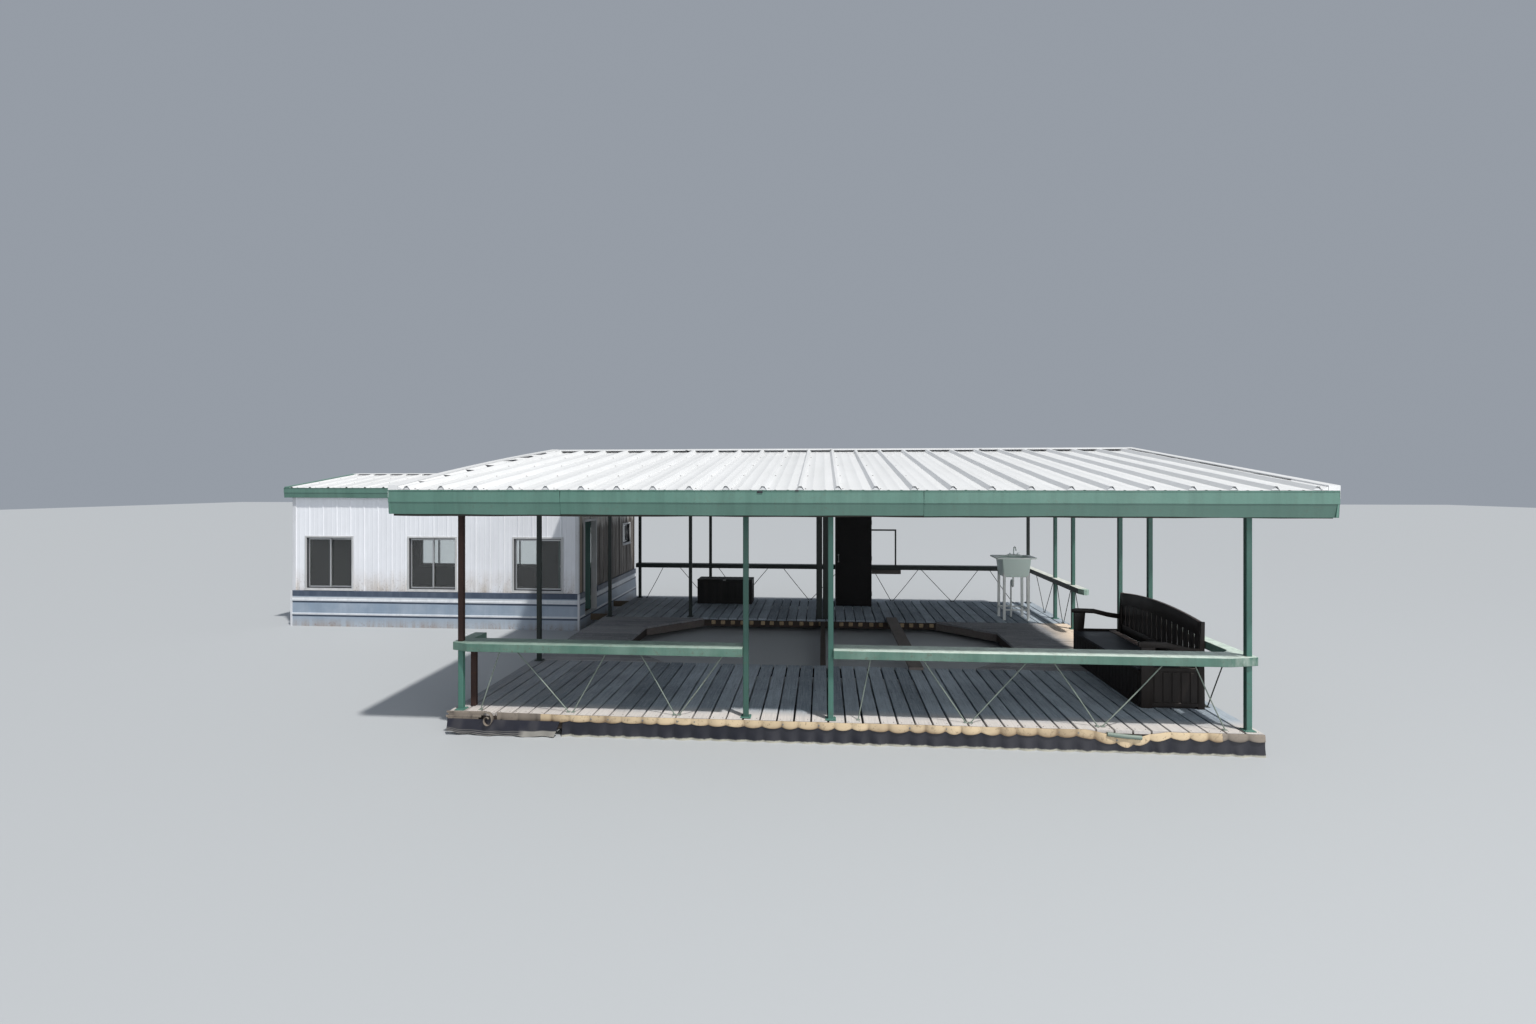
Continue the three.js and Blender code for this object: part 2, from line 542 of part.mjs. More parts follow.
function benchBack() {
  const [front, back] = [BENCH.front - 5, BENCH.back + 5];
  const [low, high] = [SEAT + 60, DECK + BENCH.top];
  const slats = 16;
  const step = (back - front) / slats;
  const gaps = [];
  for (let i = 0; i < slats; i += 1) {
    const gap = [front + step * (i + 0.32), front + step * (i + 0.68)];
    gaps.push(box([BENCH.right, BENCH.right + BENCH.leg], gap, [low + 70, high - 80]));
  }
  const middle = (front + back) / 2;
  const quarter = (back - front) / 4;
  const outline = [
    [front, low], [back, low], [back, high], [back - quarter, high + BENCH.crown * 0.75],
    [middle, high + BENCH.crown], [front + quarter, high + BENCH.crown * 0.75], [front, high],
  ];
  return weld([prism('x', outline, BENCH.right + 12, BENCH.right + BENCH.leg - 12)], gaps);
}
add('bench_back', weld([
  benchEnd(BENCH.front - BENCH.end, BENCH.front),
  benchEnd(BENCH.back, BENCH.back + BENCH.end),
  benchBack(),
]), BENCH_BROWN);

// Sink: a tapered utility tub on four legs, with a tap at its back
const TUB_X = across(SINK.x, SINK.width);
const TUB_Y = across(SINK.y, SINK.depth);
const TUB_Z = [DECK + SINK.rim - SINK.tub, DECK + SINK.rim];
const grow = ([low, high], by) => [low - by, high + by];
const legX = across(SINK.x, SINK.width - 2 * SINK.taper - SINK.leg);
const legY = across(SINK.y, SINK.depth - 2 * SINK.taper - SINK.leg);
add('sink', weld([
  tapered(TUB_X, TUB_Y, TUB_Z, SINK.taper),
  box(grow(TUB_X, SINK.flange), grow(TUB_Y, 22), [TUB_Z[1] - 30, TUB_Z[1]]),
  ...legX.flatMap((x) => legY.map((y) =>
    box(across(x, SINK.leg), across(y, SINK.leg), [DECK + TOUCH, TUB_Z[0] + 30]))),
  box(legX, legY, [DECK + 200, DECK + 224]),
  box(across(SINK.x, 90), [TUB_Y[1] - 20, TUB_Y[1] + 60], [TUB_Z[1] - 20, TUB_Z[1] + 20]),
  box(across(SINK.x, 26), [TUB_Y[1] - 5, TUB_Y[1] + 21], [TUB_Z[1], TUB_Z[1] + 160]),
  box(across(SINK.x, 26), [TUB_Y[1] - 170, TUB_Y[1] + 21], [TUB_Z[1] + 140, TUB_Z[1] + 166]),
], [
  tapered(grow(TUB_X, -SINK.wall), grow(TUB_Y, -SINK.wall), [TUB_Z[0] + SINK.wall, TUB_Z[1] + 5], SINK.taper),
]), TUB_GREEN);

// Deck box: a low chest with a hinged lid
const BOX_TOP = DECK + BOX.height;
add('deck_box', weld([
  box([BOX.left, BOX.right], [BOX.front, BOX.back], [DECK + TOUCH, BOX_TOP]),
], [
  box(
    [BOX.left + BOX.wall, BOX.right - BOX.wall], [BOX.front + BOX.wall, BOX.back - BOX.wall],
    [DECK + 30, BOX_TOP + 10],
  ),
]), LOCKER_BLACK);
add('deck_box_lid', box(
  [BOX.left - 10, BOX.right + 10], [BOX.front - 15, BOX.back - 5], [BOX_TOP + PLAY, BOX_TOP + PLAY + BOX.lid],
), LOCKER_BLACK);

// Cabin: floats, and the floor whose two long joists tie it to the deck's frame
const CABIN_FLOAT_X = [CABIN.left + 160, CABIN.right - 140];
add('cabin_float_front', prism('x', floatSection(5850, 6900), ...CABIN_FLOAT_X), FLOAT_BLACK);
add('cabin_float_back', prism('x', floatSection(8700, 9750), ...CABIN_FLOAT_X), FLOAT_BLACK);
const FLOOR_X = [CABIN.left + 40, CABIN.right - 40];
const FLOOR_Y = [CABIN.front + 40, CABIN.back - 40];
const FLOOR_JOISTS_X = [-11290, -9800, -8260, -6720, -5230];
const TIES_Y = [6400, 8000];
add('cabin_floor', weld([
  box(FLOOR_X, FLOOR_Y, [FRAME_TOP - 2, DECK]),
  ...FLOOR_JOISTS_X.map((x) => box(across(x, STEEL), FLOOR_Y, FRAME_Z)),
  ...TIES_Y.map((y) => box([FLOOR_X[0], -DECK_HALF - TOUCH], across(y, STEEL), FRAME_Z)),
]), FRAME_STEEL);

// Cabin walls: ribbed outside, cut for windows and the doorway, which have their own raised frames
const RIBS = {
  pitch: WALL_RIB.pitch, ribHeight: WALL_RIB.height, ribFoot: WALL_RIB.foot, ribTop: WALL_RIB.top,
};
const WALL_FOOT = DECK + TOUCH;
const cabinUnder = (y) => roofHeight(CABIN_ROOF, y);
const WALL_TOP = cabinUnder(CABIN.front - WALL_RIB.height) - 1;
// A window frame in a wall that stands across Y (axis y) or X (axis x): out is the wall's outer face,
// way is +1 or -1, the direction from inside to outside.
function windowParts(axis, centre, width, bottom, height, out, way) {
  const along = (low, high, outer, inner, z) => {
    const depth = [out + way * outer, out + way * inner].sort((a, b) => a - b);
    return axis === 'y' ? box([low, high], depth, z) : box(depth, [low, high], z);
  };
  const [a, b] = across(centre, width);
  const top = bottom + height;
  const f = WINDOW.frame;
  const bars = WINDOW.bar / 2;
  return {
    frame: along(a, b, WINDOW.proud, -WALL, [bottom, top]),
    hole: along(a + f, b - f, WINDOW.proud + 20, -WALL - 20, [bottom + f, top - f]),
    bar: along(centre - bars, centre + bars, 6, -WALL / 2 + TOUCH, [bottom + f - 5, top - f + 5]),
    glass: along(
      a + f + TOUCH, b - f - TOUCH, -WALL / 2, -WALL / 2 - WINDOW.glass,
      [bottom + f + TOUCH, top - f - TOUCH],
    ),
  };
}
function longWall(name, face, way) {
  const wall = prism(
    'z', ribbed(CABIN.left, CABIN.right, face - way * WALL, face, RIBS, way), WALL_FOOT, WALL_TOP,
  );
  const windows = WINDOW_CENTRES.map((centre) =>
    windowParts('y', centre, WINDOW.width, WINDOW.bottom, WINDOW.height, face, way));
  let solid = toSolid(wall);
  for (const { frame, hole } of windows) solid = solid.add(toSolid(frame)).subtract(toSolid(hole));
  for (const { bar: middle } of windows) solid = solid.add(toSolid(middle));
  add(`cabin_wall_${name}`, toGeometry(solid), SIDING);
  windows.forEach(({ glass }, i) => add(`glass_${name}_${i + 1}`, glass, GLASS));
}
longWall('front', CABIN.front, -1);
longWall('back', CABIN.back, 1);

const END_Y = [CABIN.front + WALL + TOUCH, CABIN.back - WALL - TOUCH];
const GABLE = [
  [END_Y[0], WALL_FOOT], [END_Y[1], WALL_FOOT], [END_Y[1], cabinUnder(END_Y[1]) - 1],
  [CABIN_ROOF.ridge, cabinUnder(CABIN_ROOF.ridge) - 1], [END_Y[0], cabinUnder(END_Y[0]) - 1],
];
function endWall(face, way) {
  const outline = ribbed(...END_Y, face - way * WALL, face, RIBS, way).map(([y, x]) => [x, y]);
  const slab = prism('z', outline, WALL_FOOT, WALL_FOOT + 3500);
  return toSolid(slab).intersect(toSolid(prism('x', GABLE, face - WALL - 40, face + WALL + 40)));
}
add('cabin_wall_left', toGeometry(endWall(CABIN.left, -1)), SIDING);
const small = windowParts(
  'x', SMALL_WINDOW.centre, SMALL_WINDOW.width, SMALL_WINDOW.bottom, SMALL_WINDOW.height, CABIN.right, 1,
);
const JAMB = 50;
const DOORWAY_TOP = DECK + DOORWAY.height;
let rightWall = endWall(CABIN.right, 1);
rightWall = rightWall.add(toSolid(small.frame)).subtract(toSolid(small.hole)).add(toSolid(small.bar));
rightWall = rightWall.add(toSolid(box(
  [CABIN.right - WALL, CABIN.right + 20],
  [DOORWAY.from - JAMB, DOORWAY.to + JAMB], [WALL_FOOT, DOORWAY_TOP + JAMB],
)));
rightWall = rightWall.subtract(toSolid(box(
  [CABIN.right - WALL - 20, CABIN.right + 60], [DOORWAY.from, DOORWAY.to], [DECK - 5, DOORWAY_TOP],
)));
add('cabin_wall_right', toGeometry(rightWall), SIDING);
add('glass_right', small.glass, GLASS);

// Cabin door: hung on the inner edge of the far jamb, standing open into the cabin
const LEAF = { thick: 40, pinX: CABIN.right - WALL - 2, pinY: DOORWAY.to - 3 };
const leaf = box(
  [4, 4 + LEAF.thick], [-(LEAF.pinY - DOORWAY.from - PLAY), -3], [DECK + 10, DOORWAY_TOP - PLAY],
);
leaf.rotateZ(THREE.MathUtils.degToRad(-DOOR_OPEN)).translate(LEAF.pinX, LEAF.pinY, 0);
add('cabin_door', leaf, DOOR_TEAL);

// Cabin skirting: a band round the foot of the walls, cut at the doorway, with two raised strips
const SKIRT_IN = WALL_RIB.height + TOUCH;
const ring = (out) => [
  [CABIN.left - out, CABIN.right + out], [CABIN.front - out, CABIN.back + out],
];
const STRIPS = { at: [DECK - 5, DECK + 285], height: 40 };
add('cabin_skirt', weld([
  box(...ring(SKIRT_IN + SKIRT.thick), [SKIRT_BOTTOM, SKIRT.top]),
  ...STRIPS.at.map((z) => box(...ring(SKIRT_IN + SKIRT.thick + 10), [z, z + STRIPS.height])),
], [
  box(...ring(SKIRT_IN), [SKIRT_BOTTOM - 50, SKIRT.top + 50]),
  box(
    [CABIN.right - 50, CABIN.right + 100],
    [DOORWAY.from - JAMB - TOUCH, DOORWAY.to + JAMB + TOUCH], [DECK - TOUCH, SKIRT.top + 50],
  ),
  ...TIES_Y.map((y) => box(
    [CABIN.right - 50, CABIN.right + 100], across(y, STEEL + 2 * TOUCH),
    [FRAME_BOTTOM - TOUCH, FRAME_TOP + TOUCH],
  )),
]), SKIRT_BLUE);

// Cabin roof, its ridge cap and the fascia round it
sheetPair(CABIN_ROOF, CABIN_ROOF.left, CABIN_ROOF.right, 'cabin_roof');
add('cabin_ridge_cap', ridgeCap(CABIN_ROOF, CABIN_ROOF.left, CABIN_ROOF.right, 150, 8), ROOF_WHITE);
const FASCIA_OUT_X = [CABIN_ROOF.left - CABIN_FASCIA.thick, CABIN_ROOF.right + 22];
const FASCIA_OUT_Y = [CABIN_ROOF.eave - CABIN_FASCIA.thick, CABIN_ROOF.back + CABIN_FASCIA.thick];
const CABIN_FASCIA_Z = [CABIN_ROOF.eaveZ + 30 - CABIN_FASCIA.height, CABIN_ROOF.eaveZ + 30];
const CABIN_RAKE = rake(CABIN_ROOF, CABIN_ROOF.eave - 20, CABIN_ROOF.back + 20, 130)
  .map(([y, z], i) => [y, i < 3 ? z : z + 30]);
add('cabin_fascia', weld([
  box(FASCIA_OUT_X, [FASCIA_OUT_Y[0], CABIN_ROOF.eave - CABIN_FASCIA.clear], CABIN_FASCIA_Z),
  box(FASCIA_OUT_X, [CABIN_ROOF.back + CABIN_FASCIA.clear, FASCIA_OUT_Y[1]], CABIN_FASCIA_Z),
  prism('x', CABIN_RAKE, FASCIA_OUT_X[0], CABIN_ROOF.left - TOUCH),
  prism('x', CABIN_RAKE, CABIN_ROOF.right + TOUCH, FASCIA_OUT_X[1]),
]), GREEN_PAINT);

// Origin: under the middle of the whole object's box
const whole = new THREE.Box3().setFromObject(boat);
const middle = whole.getCenter(new THREE.Vector3());
boat.position.set(-Math.round(middle.x), -Math.round(middle.y), 0);

export default boat;
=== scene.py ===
import math

import bpy
import numpy as np
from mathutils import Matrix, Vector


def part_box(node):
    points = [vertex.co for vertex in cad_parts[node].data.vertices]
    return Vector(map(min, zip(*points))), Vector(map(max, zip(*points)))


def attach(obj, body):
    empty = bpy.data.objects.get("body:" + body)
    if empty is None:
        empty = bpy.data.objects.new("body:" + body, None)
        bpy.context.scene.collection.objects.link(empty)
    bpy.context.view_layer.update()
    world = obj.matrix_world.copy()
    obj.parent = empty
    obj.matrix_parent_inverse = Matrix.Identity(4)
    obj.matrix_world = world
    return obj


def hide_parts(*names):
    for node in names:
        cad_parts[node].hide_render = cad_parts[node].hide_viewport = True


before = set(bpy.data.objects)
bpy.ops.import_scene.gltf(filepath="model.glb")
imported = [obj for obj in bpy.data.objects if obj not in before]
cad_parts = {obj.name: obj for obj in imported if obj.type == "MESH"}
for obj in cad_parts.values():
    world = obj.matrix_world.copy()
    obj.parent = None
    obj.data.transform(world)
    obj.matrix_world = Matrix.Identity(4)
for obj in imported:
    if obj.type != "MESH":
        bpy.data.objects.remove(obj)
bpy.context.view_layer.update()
rng = np.random.default_rng(11)

# Places are given in the deck's own terms: metres from the middle of its front edge, at the top of its
# boards, +x to the right, +y to the back, +z up. The frame says where that point is.
front_edge = np.array(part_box("boards_front"))
ZERO = np.array([front_edge[:, 0].mean(), front_edge[0, 1], front_edge[1, 2]])


def local(name):
    """Lowest and highest corner of a CAD node in the deck's own terms."""
    return np.array(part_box(name)) - ZERO


(_, _, BOARDS_UNDER), (DECK_HALF, WELL_FRONT, _) = local("boards_front")
(_, WELL_BACK, _), (_, DECK_BACK, _) = local("boards_back")
WELL_LEFT, WELL_RIGHT = -3.55, 3.05
FREEBOARD = 0.25  # height of the boards above the water
ROW_X = 4.575  # post rows, from the middle of the deck
ROW_FRONT, ROW_BACK = 0.1, 8.3
POST = 0.064
BEAM_LOW, BEAM_HIGH = 2.43, 2.58
RAIL_TOP, RAIL_LOW = 0.835, 0.735

# Meshes: every shape is a pair (points, faces), worked out as whole arrays


def at(x, y, z):
    """Points from their three places, each an array or one number."""
    return np.stack(np.broadcast_arrays(x, y, z), -1)


def unit(vectors):
    """Vectors brought to length one."""
    return vectors / np.linalg.norm(vectors, axis=-1, keepdims=True)


def round_turn(sides):
    """Cosines and sines of even steps round a circle, as two columns."""
    turn = np.linspace(0, 2 * np.pi, sides, endpoint=False)[:, None]
    return np.cos(turn), np.sin(turn)


def spin(angle):
    """The matrix of a turn about the upright axis."""
    c, s = math.cos(angle), math.sin(angle)
    return np.array([[c, -s, 0], [s, c, 0], [0, 0, 1]])


def grid_faces(rows, columns, wrap_rows=False, wrap_columns=False):
    """Quads of a grid of points stored row by row."""
    r, c = np.mgrid[:rows - (not wrap_rows), :columns - (not wrap_columns)]
    r1, c1 = (r + 1) % rows, (c + 1) % columns
    corners = [r * columns + c, r * columns + c1, r1 * columns + c1, r1 * columns + c]
    return np.stack(corners, -1).reshape(-1, 4)


def skin_faces(rows, columns):
    """Faces of a skin over closed rings of points, with flat ends."""
    ring = np.arange(columns)[None]
    return [grid_faces(rows, columns, wrap_columns=True), ring[:, ::-1], ring + (rows - 1) * columns]


def repeated(faces, count, size):
    """The faces of one shape of so many points, for a number of copies."""
    starts = size * np.arange(count)[:, None, None]
    return [(starts + group).reshape(-1, group.shape[1]) for group in faces]


def outward(points, faces):
    """Turns the faces of a closed shape round if its volume comes out negative."""
    volume = 0.0
    for group in faces:
        p = points[group]
        for i in range(1, group.shape[1] - 1):
            volume += np.einsum("ij,ij->i", p[:, 0], np.cross(p[:, i], p[:, i + 1])).sum()
    return (points, faces) if volume > 0 else (points, [group[:, ::-1] for group in faces])


def loft(rings):
    """A skin over rings of points (rows, columns, 3), each ring a closed loop, with flat ends."""
    rings = np.asarray(rings, float)
    return outward(rings.reshape(-1, 3), skin_faces(*rings.shape[:2]))


def sheet(outer, inner):
    """A closed sheet between two surfaces given on one grid."""
    return loft(np.concatenate([outer, inner[:, ::-1]], 1))


def box_faces():
    """Faces of a box with cut edges, whose corners have three points each: sides, edges and corners."""
    def point(k, signs, keeps):
        weights = np.roll((4, 2, 1), -k)
        return 3 * int(weights[np.array(signs) > 0].sum()) + keeps % 3

    quads = []
    for k in range(3):
        for side in (-1, 1):
            ring = [point(k, (side, a, b), k) for a, b in ((-1, -1), (1, -1), (1, 1), (-1, 1))]
            quads.append(ring[::side])
        for a, b in ((-1, -1), (-1, 1), (1, -1), (1, 1)):
            ring = [point(k, (end, a, b), k + keeps) for end, keeps in ((-1, 1), (-1, 2), (1, 2), (1, 1))]
            quads.append(ring[::-a * b])
    corners = [[3 * i, 3 * i + 1, 3 * i + 2][::int(signs.prod())] for i, signs in enumerate(SIGNS)]
    return [np.array(quads), np.array(corners)]


SIGNS = np.array([(x, y, z) for x in (-1, 1) for y in (-1, 1) for z in (-1, 1)])
BOX_FACES = box_faces()


def chamfered(centres, sizes, chamfer=0.004, turns=None):
    """Boxes with cut edges. Each corner becomes three points: on axis k the point keeps its full half size
    and gives up the chamfer on the other two axes."""
    centres = np.atleast_2d(np.asarray(centres, float))
    halves = np.broadcast_to(np.atleast_2d(np.asarray(sizes, float)) / 2, centres.shape)
    cut = np.minimum(chamfer, halves.min(1) * 0.45)[:, None, None, None]
    points = SIGNS[:, None] * (halves[:, None, None] - cut * (1 - np.eye(3)))
    if turns is not None:
        points = np.einsum("nij,nckj->ncki", np.asarray(turns), points)
    return (points + centres[:, None, None]).reshape(-1, 3), repeated(BOX_FACES, len(centres), 24)


def block(x, y, z, chamfer=0.004):
    """One box with cut edges, by its two ends on each axis, in either order."""
    ends = np.sort(np.array([x, y, z], float), 1)
    return chamfered(ends.sum(1) / 2, ends[:, 1] - ends[:, 0], chamfer)


def tube(path, radius, sides=10):
    """A round bar along a path: each ring stands square to the line between its neighbours."""
    path = np.asarray(path, float)
    ahead = unit(np.gradient(path, axis=0))
    side = np.cross(ahead, [0.0, 0.0, 1.0])
    side[np.linalg.norm(side, axis=1) < 1e-4] = [1.0, 0.0, 0.0]
    for i in range(1, len(side)):
        if side[i] @ side[i - 1] < 0:
            side[i] *= -1
    side = unit(side)[:, None]
    up = np.cross(side, ahead[:, None])
    cosine, sine = round_turn(sides)
    radius = np.broadcast_to(np.asarray(radius, float), len(path))[:, None, None]
    return loft(path[:, None] + radius * (cosine * side + sine * up))


def slab(outline, low, high, edge=0.006, axis=2):
    """A slab over an outline [u, v], anticlockwise, from low to high along an axis. The outline is drawn in
    along its mitres at both ends so that its edges are rounded. On axis 0 or 1 the slab stands, and v is
    its height."""
    outline = np.asarray(outline, float)
    after = unit(np.roll(outline, -1, 0) - outline)[:, ::-1] * [1, -1]
    before = np.roll(after, 1, 0)
    mitre = (before + after) / (1 + (before * after).sum(1))[:, None]
    inset = edge * np.array([1, 0.3, 0, 0, 0.3, 1])
    level = np.array([low, low + edge * 0.3, low + edge, high - edge, high - edge * 0.3, high])
    u, v = np.moveaxis(outline - mitre * inset[:, None, None], -1, 0)
    order = ([2, 0, 1], [0, 2, 1], [0, 1, 2])[axis]
    return loft(at(u, v, level[:, None])[..., order])


def band(along, low, high):
    """An outline between two lines of heights, for a slab."""
    return np.vstack([np.stack([along, low], 1), np.stack([along, high], 1)[::-1]])


def studs(centres, normal, radius=0.008, height=0.005, sides=6):
    """Low bolt or screw heads: a ring on the surface, a narrower ring above it and a flat top."""
    centres = np.atleast_2d(np.asarray(centres, float))
    normal = unit(np.asarray(normal, float))
    side = unit(np.cross(normal, [0.31, 0.72, 0.62]))
    cosine, sine = round_turn(sides)
    circle = cosine * side + sine * np.cross(normal, side)
    rings = np.stack([circle * radius, circle * radius * 0.8 + normal * height])
    _, faces = loft(rings)
    return (centres[:, None, None] + rings).reshape(-1, 3), repeated(faces, len(centres), 2 * sides)


def joined(shapes):
    """Several shapes as one."""
    points, faces, start = [], [], 0
    for shape_points, shape_faces in shapes:
        points.append(shape_points)
        faces += [group + start for group in shape_faces]
        start += len(shape_points)
    return np.vstack(points), faces


def linked(name, data, place=(0, 0, 0), turn=(0, 0, 0)):
    """An object in the scene."""
    made = bpy.data.objects.new(name, data)
    made.location, made.rotation_euler = place, turn
    bpy.context.scene.collection.objects.link(made)
    return made


FINISHES = {}


def placed(name, shape, finish, replaces="", body="root", tones=None, smooth=None):
    """Puts a shape or a list of shapes, given in the deck's own terms, into a mesh object that rides on a
    body. replaces names CAD nodes. tones is one number for each point, kept as the attribute "tone". smooth
    is the angle under which faces shade as one."""
    points, faces = joined(shape) if isinstance(shape, list) else shape
    mesh = bpy.data.meshes.new(name)
    mesh.from_pydata((points + ZERO).tolist(), [], [face for group in faces for face in group.tolist()])
    if tones is not None:
        mesh.attributes.new("tone", "FLOAT", "POINT").data.foreach_set("value", np.asarray(tones, np.float32))
    mesh.update()
    if smooth:
        mesh.polygons.foreach_set("use_smooth", np.ones(len(mesh.polygons), bool))
        mesh.set_sharp_from_angle(angle=math.radians(smooth))
    mesh.materials.append(FINISHES[finish])
    piece = linked(name, mesh)
    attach(piece, body)
    if replaces:
        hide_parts(*replaces.split())


# Camera: a wide lens held level, turned a little to the left, from over the boarding side
CAMERA_PLACE, CAMERA_TURN = [-0.162, -7.944, 2.767], 0.0801
FOCAL = 683.0  # in pixels of a frame 1536 wide
HORIZON = 483.2  # its row, in a frame 1024 high
lens = bpy.data.cameras.new("camera")
lens.sensor_width = 36.0
lens.lens = 36.0 * FOCAL / 1536
lens.shift_y = -(512 - HORIZON) / 1536
lens.clip_end = 200.0
bpy.context.scene.camera = linked("camera", lens, ZERO + CAMERA_PLACE, (math.pi / 2, 0.0, CAMERA_TURN))

# Shader nodes


def node(tree, kind, inputs=None, **settings):
    """Adds a node. inputs gives its sockets by name or number: each a number, a colour or a Value."""
    made = tree.nodes.new(kind)
    for key, value in settings.items():
        setattr(made, key, value)
    for key, value in (inputs or {}).items():
        if isinstance(value, Value):
            tree.links.new(value.socket, made.inputs[key])
        else:
            made.inputs[key].default_value = value
    return made


class Value:
    """An output of a shader node. The signs +, - and * join it to a number or another one by a Math node."""

    def __init__(self, made, output=0):
        self.socket = made.outputs[output]
        self.tree = made.id_data

    def math(self, operation, other):
        return Value(node(self.tree, "ShaderNodeMath", {0: self, 1: other}, operation=operation))

    def __add__(self, other):
        return self.math("ADD", other)

    def __sub__(self, other):
        return self.math("SUBTRACT", other)

    def __mul__(self, other):
        return self.math("MULTIPLY", other)

    def spread(self, low, high, to_low=0.0, to_high=1.0):
        """This value, spread so that low becomes to_low and high becomes to_high, and kept between them."""
        ends = {0: self, 1: low, 2: high, 3: to_low, 4: to_high}
        return Value(node(self.tree, "ShaderNodeMapRange", ends, clamp=True))

    def mix(self, a, b):
        """The colour a where this value is 0, and b where it is 1."""
        a, b = (c if isinstance(c, Value) else (*c, 1.0) for c in (a, b))
        return Value(node(self.tree, "ShaderNodeMix", {0: self, 6: a, 7: b}, data_type="RGBA"), 2)


def object_place(tree, scale=None):
    """The place on the object, its axes scaled where a scale is given."""
    place = Value(node(tree, "ShaderNodeTexCoord"), "Object")
    return Value(node(tree, "ShaderNodeMapping", {"Vector": place, "Scale": scale})) if scale else place


def noise(place, scale, detail=4.0, rough=0.55, distortion=0.0):
    inputs = {"Vector": place, "Scale": scale, "Detail": detail, "Roughness": rough, "Distortion": distortion}
    return Value(node(place.tree, "ShaderNodeTexNoise", inputs))


def shader_group(name, inputs, outputs):
    """A node group of plain numbers, still empty, and its inputs as values."""
    group = bpy.data.node_groups.new(name, "ShaderNodeTree")
    for label, value in inputs.items():
        group.interface.new_socket(label, in_out="INPUT", socket_type="NodeSocketFloat").default_value = value
    for label in outputs:
        group.interface.new_socket(label, in_out="OUTPUT", socket_type="NodeSocketFloat")
    given = group.nodes.new("NodeGroupInput")
    return group, [Value(given, label) for label in inputs]


def weather_group():
    """Patches, runs down upright faces, and dust on faces that look up, as one set of masks."""
    group, (patch_scale, run_scale) = shader_group(
        "weather", {"Patch scale": 1.5, "Run scale": 9.0}, ["Patches", "Runs", "Up", "Fine", "Speckle"])
    place = object_place(group)
    normal = Value(node(group, "ShaderNodeNewGeometry"), "Normal")
    node(group, "NodeGroupOutput", {
        "Patches": noise(place, patch_scale, 5.0, 0.6).spread(0.35, 0.68),
        "Runs": noise(object_place(group, (1.0, 1.0, 0.06)), run_scale, 4.0, 0.65).spread(0.42, 0.70),
        "Up": Value(node(group, "ShaderNodeSeparateXYZ", {0: normal}), "Z").spread(0.3, 0.9),
        "Fine": noise(place, 90.0, 3.0, 0.6),
        "Speckle": noise(place, 26.0, 6.0, 0.7).spread(0.56, 0.66),
    })
    return group


def grain_group():
    """Wood grain that runs along Y (or along X when Turned is 1), with checks and a height for bump."""
    group, (turned, tone) = shader_group("grain", {"Turned": 0.0, "Tone": 0.0}, ["Grain", "Checks", "Height"])
    parts = node(group, "ShaderNodeSeparateXYZ", {0: object_place(group)})
    x, y, z = (Value(parts, axis) for axis in range(3))
    swap = lambda a, b: Value(node(group, "ShaderNodeMix", {0: turned, 2: a, 3: b}, data_type="FLOAT"))
    across, along = swap(x, y), swap(y, x)
    shifted = along + tone * 37.0
    cells = lambda wide, long, deep: Value(node(group, "ShaderNodeCombineXYZ", {
        0: across * wide, 1: shifted * long, 2: z * deep}))
    rings = noise(cells(60.0, 2.2, 30.0), 1.0, 5.0, 0.62, 0.6)
    checks = noise(cells(190.0, 3.0, 60.0), 1.0, 3.0, 0.5).spread(0.63, 0.72)
    node(group, "NodeGroupOutput", {"Grain": rings.spread(0.3, 0.7), "Checks": checks,
                                    "Height": rings - checks * 0.8})
    return group


WEATHER, GRAIN = weather_group(), grain_group()


class Finish:
    """A Principled material in the making, with the weather masks as its values."""

    def __init__(self, name, colour, roughness, metallic=0.0):
        self.base = colour
        self.material = FINISHES[name] = bpy.data.materials.new(name)
        self.material.use_nodes = True
        self.tree = self.material.node_tree
        self.shader = self.tree.nodes["Principled BSDF"]
        self.constant("Roughness", roughness)
        self.constant("Metallic", metallic)
        weather = node(self.tree, "ShaderNodeGroup", node_tree=WEATHER)
        self.patches, self.runs, self.up, self.fine, self.speckle = (Value(weather, i) for i in range(5))

    def constant(self, socket, value):
        self.shader.inputs[socket].default_value = value

    def layer(self, mask, colour):
        """Lays a colour over the base colour where a mask is 1."""
        self.base = mask.mix(self.base, colour)

    def tone(self):
        """The "tone" kept with each point: 0 where a piece has none."""
        return Value(node(self.tree, "ShaderNodeAttribute", attribute_name="tone"), "Fac")

    def noise(self, scale, stretch=None, detail=4.0, rough=0.55):
        return noise(object_place(self.tree, stretch), scale, detail, rough)

    def along(self, axis, low, high, to_low=0.0, to_high=1.0, shift=None):
        """A value that goes from to_low to to_high between two places along an axis of the deck. shift is a
        value that is added to the place first."""
        place = Value(node(self.tree, "ShaderNodeSeparateXYZ", {0: object_place(self.tree)}), axis)
        zero = ZERO["XYZ".index(axis)]
        return (place + shift if shift else place).spread(zero + low, zero + high, to_low, to_high)

    def done(self, rough, height=None, strength=0.15, distance=0.001):
        """Joins the base colour, the roughness and the bump of a height to the shader."""
        links = {"Base Color": self.base, "Roughness": rough}
        if height:
            inputs = {"Height": height, "Strength": strength, "Distance": distance}
            links["Normal"] = Value(node(self.tree, "ShaderNodeBump", inputs))
        for name, value in links.items():
            if value:
                self.tree.links.new(value.socket, self.shader.inputs[name])


def times(colour, share):
    return tuple(share * c for c in colour)


